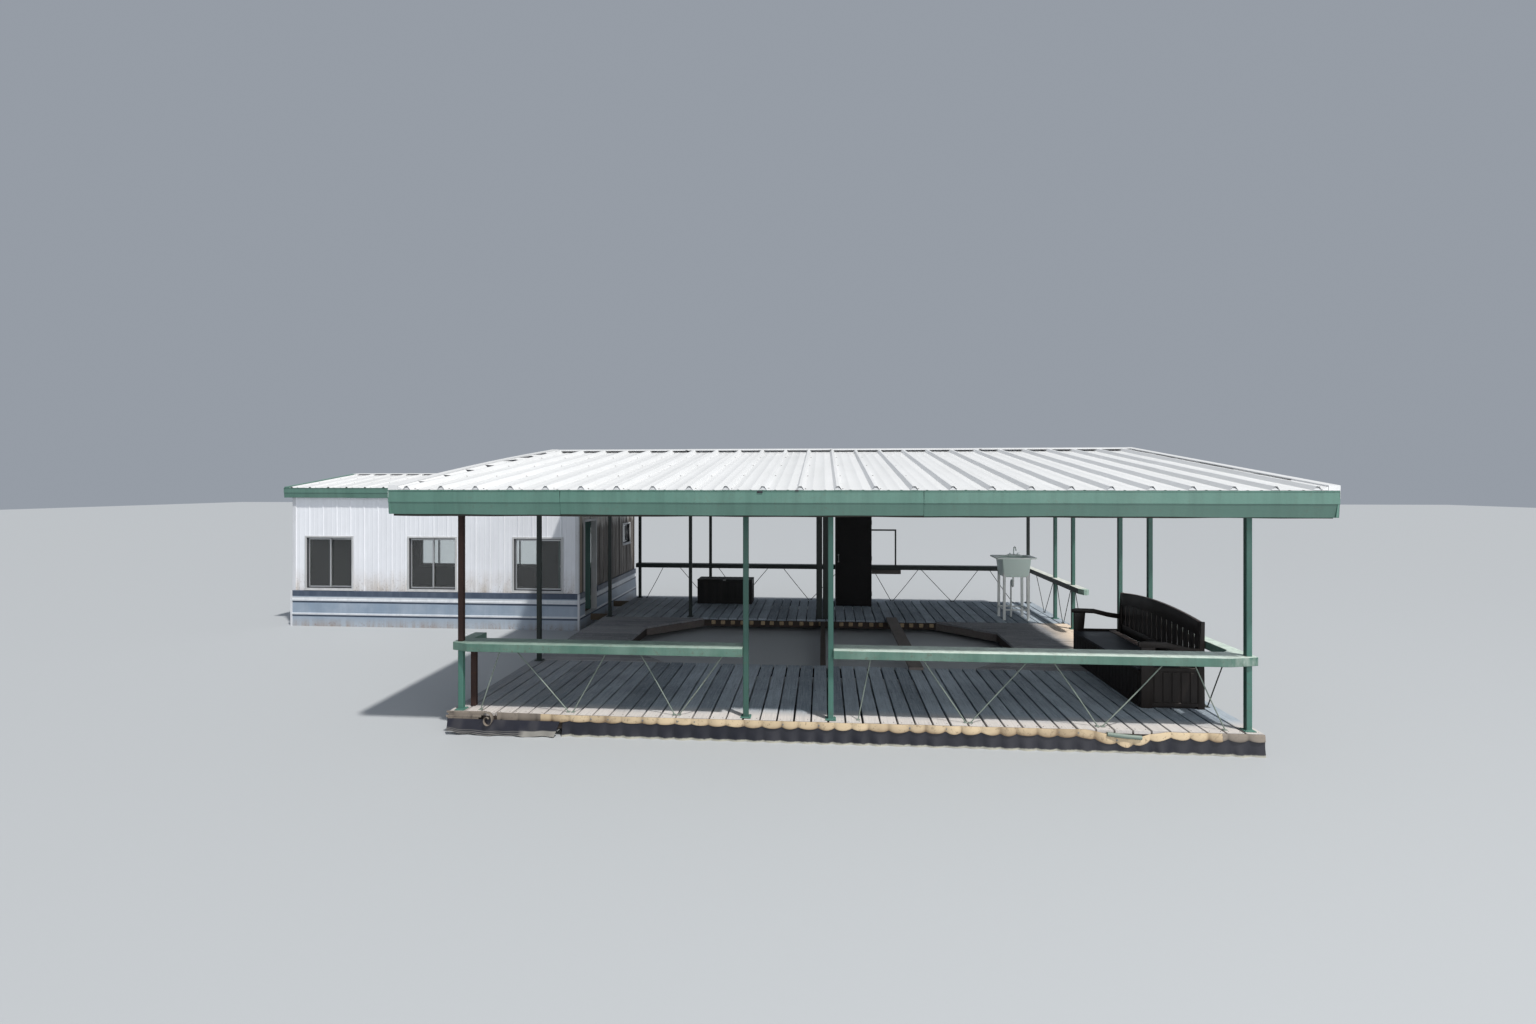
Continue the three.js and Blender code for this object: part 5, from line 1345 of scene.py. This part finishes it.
def turned_open(shapes):
    points, faces = joined(shapes)
    return points @ spin(math.radians(-DOOR_OPEN)).T + PIN, faces


leaf = [leaf_box((LEAF_X[0] + 0.006, LEAF_X[1] - 0.006), (0, LEAF_WIDE), (LEAF_LOW, LEAF_HIGH), 0.003)]
for x in ((LEAF_X[0], LEAF_X[0] + 0.0065), (LEAF_X[1] - 0.0065, LEAF_X[1])):
    for inset, z in ((0.10, (LEAF_LOW, 0.20)), (0.10, (0.86, 1.00)), (0.10, (LEAF_HIGH - 0.12, LEAF_HIGH)),
                     (0.16, (0.27, 0.79)), (0.16, (1.07, LEAF_HIGH - 0.19))):
        leaf.append(leaf_box(x, (inset, LEAF_WIDE - inset), z, 0.0025))
    for along in ((0, 0.10), (LEAF_WIDE - 0.10, LEAF_WIDE)):
        leaf.append(leaf_box(x, along, (LEAF_LOW, LEAF_HIGH), 0.0025))
placed("cabin_door_leaf", turned_open(leaf), "door_teal", "cabin_door", "cabin_door")
KNOB_Y, KNOB_Z = 0.06 - LEAF_WIDE, 0.95
t = np.linspace(0, 1, 9)
knob_radius = 0.010 + 0.014 * np.sin(np.pi * np.clip(t * 1.7 - 0.7, 0, 1)) ** 0.5
fittings = [tube([[0.0, 0.0, z - 0.045], [0.0, 0.0, z + 0.045]], 0.0035) for z in (0.25, 0.97, 1.70)]
for x, way in zip(LEAF_X, (-1, 1)):
    fittings.append(tube(at(x + way * 0.055 * t, KNOB_Y, KNOB_Z), knob_radius, 14))
    fittings.append(tube([[x, KNOB_Y, KNOB_Z], [x + way * 0.004, KNOB_Y, KNOB_Z]], 0.026, 16))
placed("cabin_door_fittings", turned_open(fittings), "tap_metal", body="cabin_door", smooth=40)

# Skirting: a formed band with two raised strips
SKIRT_LOW, SKIRT_OUT, STRIP_OUT = -0.275, 0.030, 0.042


def skirt_line(top):
    """The band's outer line [out, height], from its foot up to a height."""
    line = [(0.012, SKIRT_LOW), (SKIRT_OUT, SKIRT_LOW + 0.004)]
    for strip in (STRIP_LOW, STRIP_HIGH):
        line += [(SKIRT_OUT, strip - 0.007), (STRIP_OUT, strip), (STRIP_OUT, strip + 0.030),
                 (SKIRT_OUT, strip + 0.040)]
    line += [(SKIRT_OUT, BELT_FROM - 0.004), (SKIRT_OUT + 0.005, BELT_FROM + 0.002),
             (SKIRT_OUT + 0.005, SKIRT_TOP - 0.006), (0.012, SKIRT_TOP)]
    return [point for point in line if point[1] <= top] + ([(SKIRT_OUT, top)] if top < SKIRT_TOP else [])


def skirt_run(wall, low, high, top, seed):
    """The skirting's formed line carried along a wall; between its edges the sheet is pressed in and out a
    few millimetres by two sines along the wall, more at its foot."""
    line = skirt_line(top)
    out, z = np.array([*line, (0.0105, line[-1][1]), (0.0105, SKIRT_LOW)]).T
    along = np.linspace(low, high, max(4, int(abs(high - low) / 0.12)))[:, None]
    phase = np.random.default_rng(seed).random(3) * 6
    dent = 0.0022 * np.sin(4.1 * along + phase[0]) + 0.0016 * np.sin(9.7 * along + phase[1])
    depth = np.clip((0.3 - z) / 0.6, 0.15, 1.0) * (out > 0.02)
    return loft(wall_point(WALLS[wall], along, out + dent * depth, z))


TURN_OUT = WALL_RIB + 0.0205
placed("cabin_skirting", [skirt_run(*run) for run in (
    ("front", LEFT - TURN_OUT, RIGHT + TURN_OUT, SKIRT_TOP, 41),
    ("back", LEFT - TURN_OUT, RIGHT + TURN_OUT, SKIRT_TOP, 42),
    ("left", FRONT - 0.011, BACK + 0.011, SKIRT_TOP, 43),
    ("right", FRONT - 0.011, DOOR_FROM - JAMB, SKIRT_TOP, 44),
    ("right", DOOR_FROM - JAMB, DOOR_TO + JAMB, -0.006, 45),
    ("right", DOOR_TO + JAMB, BACK + 0.011, SKIRT_TOP, 46),
)], "skirt_blue", "cabin_skirt")
placed("cabin_skirt_corners", chamfered(
    [(x + way_x * 0.020, y + way_y * 0.020, (SKIRT_LOW + SKIRT_TOP - 0.006) / 2)
     for x, y, way_x, way_y in CABIN_CORNERS],
    [0.044, 0.044, SKIRT_TOP - SKIRT_LOW - 0.002]), "corner_trim", "cabin_skirt")

# Cabin roof: the lining under its sheets, and its lapped fascia
for side, way in (("front", 1), ("back", -1)):
    ends = np.array([[CABIN_ROOF.left + 0.004], [CABIN_ROOF.right - 0.004]])
    s, up = np.array([0.004, CABIN_ROOF.slope - 0.004] * 2)[[0, 1, 3, 2]], [0.001, 0.001, 0.056, 0.056]
    boarding = loft(CABIN_ROOF.on(ends, s, np.array(up), way))
    placed(f"cabin_roof_{side}_boarding", boarding, "plywood", f"cabin_roof_{side}")
fascia_ends = (CABIN_ROOF.left - 0.040, CABIN_ROOF.right + 0.022)
spans = [(fascia_ends[0], -8.3), (-8.296, fascia_ends[1])]
for side, face, way, seed in (("front", CABIN_ROOF.eave - 0.038, 1, 51),
                              ("back", CABIN_ROOF.back + 0.038, -1, 52)):
    fascia = lapped_fascia(face, way, CABIN_ROOF.level + 0.057, 0.207, 0.027, spans, seed)
    placed("cabin_fascia_" + side, fascia, "fascia_green", "cabin_fascia", smooth=12)
for name, way, edge, thick in (("left", -1, fascia_ends[0], 0.039), ("right", 1, fascia_ends[1], 0.021)):
    board = from_edge(edge, way, [(0, -0.13), (0, 0.085), (thick + 0.06, 0.085), (thick + 0.06, 0.083),
                                  (0.002, 0.083), (0.002, 0.0), (thick, -0.002), (thick, -0.13)])
    plug = from_edge(edge, way, [(0.003, 0.0), (0.003, 0.082), (thick + 0.058, 0.082), (thick + 0.058, 0.0)])
    placed(f"cabin_fascia_plugs_{name}", [
        CABIN_ROOF.strip(plug, CABIN_ROOF.eave - 0.021, CABIN_ROOF.eave - 0.004),
        CABIN_ROOF.strip(plug, CABIN_ROOF.back + 0.004, CABIN_ROOF.back + 0.021),
    ], "fascia_green")
    placed("cabin_fascia_" + name, CABIN_ROOF.strip(board, CABIN_ROOF.eave - 0.020, CABIN_ROOF.back + 0.020),
           "fascia_green", "cabin_fascia")

# Locker
low, high = local("locker_body")
PANEL = 0.020
x, y, z = zip(low, high)
in_x = (x[0] + PANEL, x[1] - PANEL)
placed("locker_carcass", [
    block((x[0], in_x[0]), y, z, 0.003), block((in_x[1], x[1]), y, z, 0.003),
    block(in_x, (y[1] - PANEL, y[1]), z),
    block(in_x, (y[0], y[1] - PANEL), (z[1] - PANEL, z[1])), block(in_x, (y[0], y[1] - PANEL), (z[0], 0.060)),
    *[block(in_x, (y[0] + 0.03, y[1] - PANEL), (shelf, shelf + 0.016)) for shelf in (0.62, 1.14, 1.66)],
    *[block((side - 0.006, side + 0.006), (y[0] + 0.05, y[1] - 0.05), (0.10, z[1] - 0.10), 0.002)
      for side in (x[0] - 0.001, x[1] + 0.001)],
], "locker_black", "locker_body")
low, high = local("locker_door")
x, face, z = (low[0], high[0]), low[1], (low[2], high[2])
leaf = [block(x, (face + 0.005, high[1]), z, 0.003)]
for rim in ((0.12, 0.98), (1.06, 2.02)):
    bars = four_bars((x[0] + 0.07, x[0] + 0.75), rim, 0.028)
    leaf += [block(a, (face, face + 0.006), b, 0.002) for a, b in bars]
placed("locker_door_panel", leaf, "locker_black", "locker_door", "locker_door")
GRIP_X = x[0] + 0.06
grip = [(0.0, 1.00), (0.030, 1.005), (0.035, 1.03), (0.035, 1.12), (0.030, 1.145), (0.0, 1.15)]
placed("locker_handle", [
    tube([(GRIP_X, face - out, up) for out, up in grip], 0.006),
    chamfered([(GRIP_X, face - 0.001, up) for up in (1.0, 1.15)], [0.030, 0.004, 0.034], 0.001),
], "hardware", body="locker_door", smooth=40)
placed("locker_hinges", [
    tube([(x[1] + 0.006, face + 0.014, up - 0.05), (x[1] + 0.006, face + 0.014, up + 0.05)], 0.006, 12)
    for up in (0.28, 1.08, 1.88)
], "hardware", smooth=40)


def open_box(x, y, z, floor, wall=0.025):
    """Four walls, those at the ends over its whole depth, and a floor up to a height."""
    in_x, in_y = (x[0] + wall, x[1] - wall), (y[0] + wall, y[1] - wall)
    return [block((x[0], in_x[0]), y, z), block((in_x[1], x[1]), y, z), block(in_x, (y[0], in_y[0]), z),
            block(in_x, (in_y[1], y[1]), z), block(in_x, in_y, (z[0], floor))]


def crowned_lid(low, high, crown, grooves=()):
    """A lid whose top bows up by crown * (1 - u^4)(1 - v^4) over its plan, -1 to 1 each way, and dips a
    little in each groove across it; its rim turns down."""
    u, v = np.linspace(-1, 1, 41), np.linspace(-1, 1, 17)[:, None]
    middle, half = (low + high) / 2, (high - low) / 2
    dip = 0.003 * np.exp(-((np.abs(u[:, None] - np.asarray(grooves)) / 0.012) ** 2)).sum(-1) * (1 - v**8)
    top = at(middle[0] + half[0] * (u - 0.012 * u**9), middle[1] + half[1] * (v - 0.02 * v**9),
             high[2] - crown + crown * (1 - u**4) * (1 - v**4) - dip)
    rim = top.copy()
    rim[..., 2] = low[2]
    number = np.arange(top[..., 0].size).reshape(17, 41)
    edge = np.concatenate([number[0], number[1:, -1], number[-1, -2::-1], number[-2:0:-1, 0]])
    after = np.roll(edge, -1)
    upper = grid_faces(17, 41)
    side = np.stack([edge, edge + number.size, after + number.size, after], 1)
    points = np.vstack([top.reshape(-1, 3), rim.reshape(-1, 3)])
    return outward(points, [upper, upper[:, ::-1] + number.size, side])


# Deck box and its lid
low, high = local("deck_box")
lid_low, lid_high = local("deck_box_lid")
x, y, z = zip(low, high)
ribs_z = (0.05, z[1] - 0.05)
rib = np.array([-0.012, 0.012])
walls = open_box(x, y, z, 0.030)
for middle in np.linspace(x[0] + 0.09, x[1] - 0.09, 9):
    walls.append(block(middle + rib, (y[0] - 0.005, y[0] + 0.001), ribs_z, 0.003))
    walls.append(block(middle + rib, (y[1] - 0.001, y[1] + 0.004), ribs_z, 0.003))
for middle in np.linspace(y[0] + 0.08, y[1] - 0.08, 4):
    walls.append(block((x[0] - 0.005, x[0] + 0.001), middle + rib, ribs_z, 0.003))
    walls.append(block((x[1] - 0.001, x[1] + 0.005), middle + rib, ribs_z, 0.003))
placed("deck_box_tub", walls, "box_black", "deck_box")
placed("deck_box_cover", crowned_lid(lid_low, lid_high, 0.012, np.linspace(-0.8, 0.8, 9)), "box_black",
       "deck_box_lid", "deck_box_lid", smooth=35)
latch_x, latch_y = (x[0] + x[1]) / 2, lid_low[1]
placed("deck_box_latch", [
    block((latch_x - 0.035, latch_x + 0.035), (latch_y - 0.006, latch_y + 0.001),
          (lid_low[2] + 0.004, lid_high[2] - 0.008)),
    block((latch_x - 0.026, latch_x + 0.026), (latch_y - 0.012, latch_y - 0.005),
          (lid_low[2] + 0.010, lid_high[2] - 0.016)),
], "hardware", body="deck_box_lid")

# Bench: moulded to look like boards
low, high = local("bench_box")
back_low, back_high = local("bench_back")
seat_low, seat_high = local("bench_seat")
x, y, z = zip(low, high)
STAVE = 0.006
bench = open_box(x, y, z, 0.040)
staves_y = lane_middles(y[0] + 0.05, y[1] - 0.05, 0.105)
bench.append(chamfered(at(x[0] - STAVE / 2 + 0.001, staves_y, (z[1] + 0.010) / 2),
                       [STAVE, 0.098, z[1] - 0.100], 0.003))
for bar in ((0.002, 0.050), (z[1] - 0.038, z[1])):
    bench.append(block((x[0] - 0.010, x[0] + 0.002), y, bar))
placed("bench_chest", bench, "bench_brown", "bench_box")
placed("bench_lid", crowned_lid(seat_low, seat_high, 0.006), "bench_lid", "bench_seat",
       "bench_seat", smooth=35)


def strap(path, across, wide, thick, edge):
    """A bar of oblong section with cut edges, carried along a path; across is the fixed direction of its
    width. Width and thickness may change along the path."""
    path, across = np.asarray(path, float), np.asarray(across, float)
    normal = np.cross(unit(np.gradient(path, axis=0)), across)
    half_wide, half_thick = (np.broadcast_to(size, len(path)) / 2 for size in (wide, thick))
    rings = []
    for a, b, cuts in ((1, 1, (0, 1)), (-1, 1, (1, 0)), (-1, -1, (0, 1)), (1, -1, (1, 0))):
        for cut in cuts:
            u, v = a * (half_wide - edge * cut), b * (half_thick - edge * (1 - cut))
            rings.append(path + across * u[:, None] + normal * v[:, None])
    return loft(np.stack(rings, 1))


def bezier(points, count):
    """A cubic curve through its control points' end points."""
    p = np.asarray(points, float)
    t = np.linspace(0, 1, count)[:, None]
    return (1 - t) ** 3 * p[0] + 3 * (1 - t) ** 2 * t * p[1] + 3 * (1 - t) * t**2 * p[2] + t**3 * p[3]


BACK_TOP, BACK_X = 1.07, back_high[0]
SEAT_GAP = 0.505  # height where the end frames open above the seat
front = x[0]
frame_parts = []
for from_y, to_y in ((back_low[1], y[0]), (y[1], back_high[1])):
    middle, ends_y = (from_y + to_y) / 2, (from_y + 0.0005, to_y - 0.0005)
    arm_x = np.linspace(front - 0.030, BACK_X - 0.050, 12)
    arm_top = np.interp(arm_x, [front - 0.03, front + 0.02, front + 0.30, front + 0.52, BACK_X],
                        [0.802, 0.818, 0.812, 0.760, 0.728])
    arm_thick = np.interp(arm_x, [front - 0.03, front + 0.03, BACK_X], [0.052, 0.068, 0.075])
    frame_parts.append(slab(band(arm_x, arm_top - arm_thick, arm_top), from_y, to_y, 0.010, 1))
    foot = [(0, 0.001), (0.135, 0.001), (0.150, SEAT_GAP), (0.172, 0.750), (0, 0.750)]
    frame_parts.append(slab([(front + u, up) for u, up in foot], *ends_y, 0.008, 1))
    rear = [(0.085, 0.001), (0, 0.001), (0.006, 0.55), (0, BACK_TOP), (0.046, BACK_TOP), (0.070, 0.70),
            (0.080, 0.55)]
    frame_parts.append(slab([(BACK_X - u, up) for u, up in rear], *ends_y, 0.008, 1))
    panel_x = (front + 0.125, BACK_X - 0.080)
    frame_parts.append(block(panel_x, (middle - 0.010, middle + 0.010), (0.030, SEAT_GAP), 0.003))
    lanes = lane_middles(panel_x[0] + 0.012, panel_x[1], 0.100)
    for side in (middle - 0.0125, middle + 0.0125):
        frame_parts.append(chamfered(at(lanes, side, 0.262), [0.078, 0.012, 0.370]))
    for up in (0.052, 0.480):
        frame_parts.append(block((panel_x[0] - 0.01, panel_x[1] + 0.01), (from_y + 0.004, to_y - 0.004),
                                 (up - 0.022, up + 0.022), 0.005))
span = y[1] - y[0]
crown = lambda place: 0.070 * (1 - ((np.asarray(place) - sum(y) / 2) / (span / 2)) ** 2)
SLATS, SLIT = 16, 0.020
half_slat = (span / SLATS - SLIT) / 2
for middle in lane_middles(*y, span / SLATS):
    frame_parts.append(block((BACK_X - 0.040, BACK_X - 0.028), (middle - half_slat, middle + half_slat),
                             (0.515, 0.95 + crown(middle) * 0.7), 0.003))
arch_y = np.linspace(y[0] - 0.004, y[1] + 0.004, 25)
arch = band(arch_y, 0.885 + 0.8 * crown(arch_y), BACK_TOP - 0.006 + crown(arch_y))
frame_parts.append(slab(arch, BACK_X - 0.050, BACK_X - 0.020, axis=0))
low_rail = band(arch_y[[0, -1]], np.full(2, z[1] + 0.002), np.full(2, 0.590))
frame_parts.append(slab(low_rail, BACK_X - 0.052, BACK_X - 0.020, axis=0))
top_line = at(BACK_X - 0.035, arch_y, BACK_TOP - 0.004 + crown(arch_y))
# The back's top edge is a paler strap: dust and a painted highlight on the rim
placed("bench_top_edge", strap(top_line, (1, 0, 0), 0.034, 0.008, 0.002), "bench_edge",
       "bench_back", smooth=35)
# A raised pale strip at the lid's back edge: a painted highlight on the lid's lit far edge
strip_x, strip_z = seat_high[0] - 0.135, seat_high[2] - 0.004
placed("bench_lid_highlight_strip", block((strip_x, strip_x + 0.10), (seat_low[1] + 0.01, seat_high[1] - 0.01),
                                (strip_z, strip_z + 0.012)), "bench_edge", body="bench_seat")
placed("bench_frame", frame_parts, "bench_brown", "bench_back", smooth=35)

# Sink
TUB = np.array([3.725, 6.4, 1.27])  # middle of its rim
HALF_X, HALF_Y, TAPER = 0.29, 0.27, 0.04
FLANGE = 0.088  # how much wider the rim is than the tub
FOOT_Z = -0.40  # the tub's foot, from its rim


def tub_rings(rows):
    """Level rings of an oblong with rounded corners: each row gives the inset from the tub's outline, the
    radius of the corners, each a quarter circle, and the height over the rim. Where the inset is negative,
    the ring takes in the flange."""
    rings = []
    for inset, radius, up in rows:
        x, y = HALF_X - inset + FLANGE * (inset < 0) - radius, HALF_Y - inset - radius
        for side_x, side_y, start in ((1, 1, 0), (-1, 1, 90), (-1, -1, 180), (1, -1, 270)):
            angle = np.radians(start + np.linspace(0, 90, 6))
            rings.append(at(side_x * x + radius * np.cos(angle), side_y * y + radius * np.sin(angle), up))
    return TUB + np.reshape(rings, (len(rows), -1, 3))


placed("sink_tub", loft(tub_rings([
    (TAPER + 0.020, 0.020, FOOT_Z), (TAPER + 0.002, 0.026, FOOT_Z + 0.012), (0.001, 0.022, -0.022),
    (0.014, 0.030, -0.020), (TAPER + 0.018, 0.030, FOOT_Z + 0.045), (TAPER + 0.040, 0.030, FOOT_Z + 0.022),
    (TAPER + 0.140, 0.025, FOOT_Z + 0.018),
])), "tub_green", "sink", smooth=40)
rim_rings = tub_rings([
    (-0.020, 0.030, -0.030), (-0.022, 0.030, -0.005), (-0.017, 0.028, 0), (0.012, 0.030, -0.0005),
    (0.018, 0.030, -0.006), (0.016, 0.030, -0.024), (0.006, 0.030, -0.026), (-0.014, 0.028, -0.020),
])
TAP = TUB + [0.085, HALF_Y + 0.010, 0]
tap_x, tap_y, tap_z = TAP
placed("sink_rim", [
    outward(rim_rings.reshape(-1, 3), [grid_faces(*rim_rings.shape[:2], True, True)]),
    block((tap_x - 0.12, tap_x + 0.12), (tap_y - 0.045, tap_y + 0.050),
          (tap_z - 0.022, tap_z + 0.016), 0.010),
], "tub_rim", "sink", smooth=40)
legs, bars = [], []
leg_x, leg_y = HALF_X - TAPER - 0.012, HALF_Y - TAPER - 0.012
for side_x in (-1, 1):
    for side_y in (-1, 1):
        top = TUB + [side_x * (leg_x - 0.006), side_y * (leg_y - 0.006), FOOT_Z + 0.10]
        foot = np.array([TUB[0] + side_x * leg_x, TUB[1] + side_y * leg_y, 0.0012])
        legs.append(strap([foot, (foot + top) / 2, top], (1, 0, 0), 0.050, 0.036, 0.003))
        legs.append(chamfered([foot[0], foot[1], 0.010], [0.046, 0.046, 0.018], 0.005))
leg_bar = np.array([-0.010, 0.010])
for side in (-1, 1):
    along_x, along_y = TUB[0] + [-leg_x, leg_x], TUB[1] + [-leg_y, leg_y]
    legs.append(block(along_x, TUB[1] + side * leg_y + leg_bar, (0.200, 0.224)))
    legs.append(block(TUB[0] + side * leg_x + leg_bar, along_y, (0.200, 0.224)))
placed("sink_legs", legs, "tub_white", "sink")
neck = [[(0, 0, 0.005), (0, 0, 0.06)],
        bezier([(0, 0, 0.10), (0, 0, 0.19), (0, -0.15, 0.20), (0, -0.165, 0.105)], 12)]
tap = [tube(TAP + np.vstack(neck), 0.013, 12)]
for side in (-1, 1):
    stem = TAP + [side * 0.075, 0, 0]
    tap.append(tube(stem + [(0, 0, 0.005), (0, 0, 0.030), (0, 0, 0.034)], [0.016, 0.013, 0.010], 12))
    lever = [(0, 0.010, 0.040), (side * 0.012, -0.020, 0.044), (side * 0.022, -0.050, 0.048)]
    tap.append(strap(stem + lever, (0, 0, 1), 0.010, [0.022, 0.016, 0.012], 0.002))
placed("sink_tap", tap, "tub_rim", "sink", smooth=45)
drain = TUB + [0, 0, FOOT_Z]
trap = np.vstack([
    [(0, 0, 0.002), (0, 0, -0.10)],
    bezier([(0, 0, -0.15), (0, 0, -0.24), (0, 0.09, -0.24), (0, 0.09, -0.16)], 10),
    bezier([(0, 0.09, -0.13), (0, 0.09, -0.10), (0, 0.12, -0.10), (0, 0.15, -0.12)], 6),
    [(0, 0.17, -0.20), (0, 0.17, 0.002 - drain[2])],
])
placed("sink_waste", tube(drain + trap, 0.019, 12), "tub_white", "sink", smooth=45)

# CAD nodes that keep their shape
for names, finish in (("deck_frame", "rusty_steel"), ("cabin_floor", "plywood"),
                      ("truss_left truss_middle truss_right purlins_front purlins_back", "roof_frame_green")):
    for name in names.split():
        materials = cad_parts[name].data.materials
        materials.clear()
        materials.append(FINISHES[finish])

# Floor at the waterline, and light
REACH = 90.0
floor_mesh = bpy.data.meshes.new("floor")
corners = ((-1, -1), (1, -1), (1, 1), (-1, 1))
floor_mesh.from_pydata([(x * REACH, y * REACH, ZERO[2] - FREEBOARD) for x, y in corners],
                       [], [(0, 1, 2, 3)])
pale = bpy.data.materials.new("floor_pale")
pale.use_nodes = True
pale.node_tree.nodes["Principled BSDF"].inputs["Base Color"].default_value = (0.40, 0.42, 0.44, 1)
pale.node_tree.nodes["Principled BSDF"].inputs["Roughness"].default_value = 0.7
floor_mesh.materials.append(pale)
linked("floor", floor_mesh)

sun = bpy.data.lights.new("sun", "SUN")
sun.energy = 3.6
sun.angle = math.radians(2.5)
sun.color = (1.0, 0.97, 0.92)
SUN_X, SUN_Y, SUN_Z = -0.38, 0.375, -1.0  # the way its light travels
SUN_TURN = (math.atan2(math.hypot(SUN_X, SUN_Y), -SUN_Z), 0.0, math.atan2(SUN_X, -SUN_Y) + math.pi)
linked("sun", sun, turn=SUN_TURN)
fill = bpy.data.lights.new("fill", "AREA")
fill.energy = 1300.0
fill.size = 14.0
linked("fill", fill, (11.0, -19.0, 7.0), (math.radians(76), 0.0, math.radians(26)))
world = bpy.data.worlds.new("sky")
world.use_nodes = True
world.node_tree.nodes["Background"].inputs["Color"].default_value = (0.80, 0.88, 1.0, 1)
world.node_tree.nodes["Background"].inputs["Strength"].default_value = 0.38
bpy.context.scene.world = world
bpy.context.scene.view_settings.view_transform = "Standard"
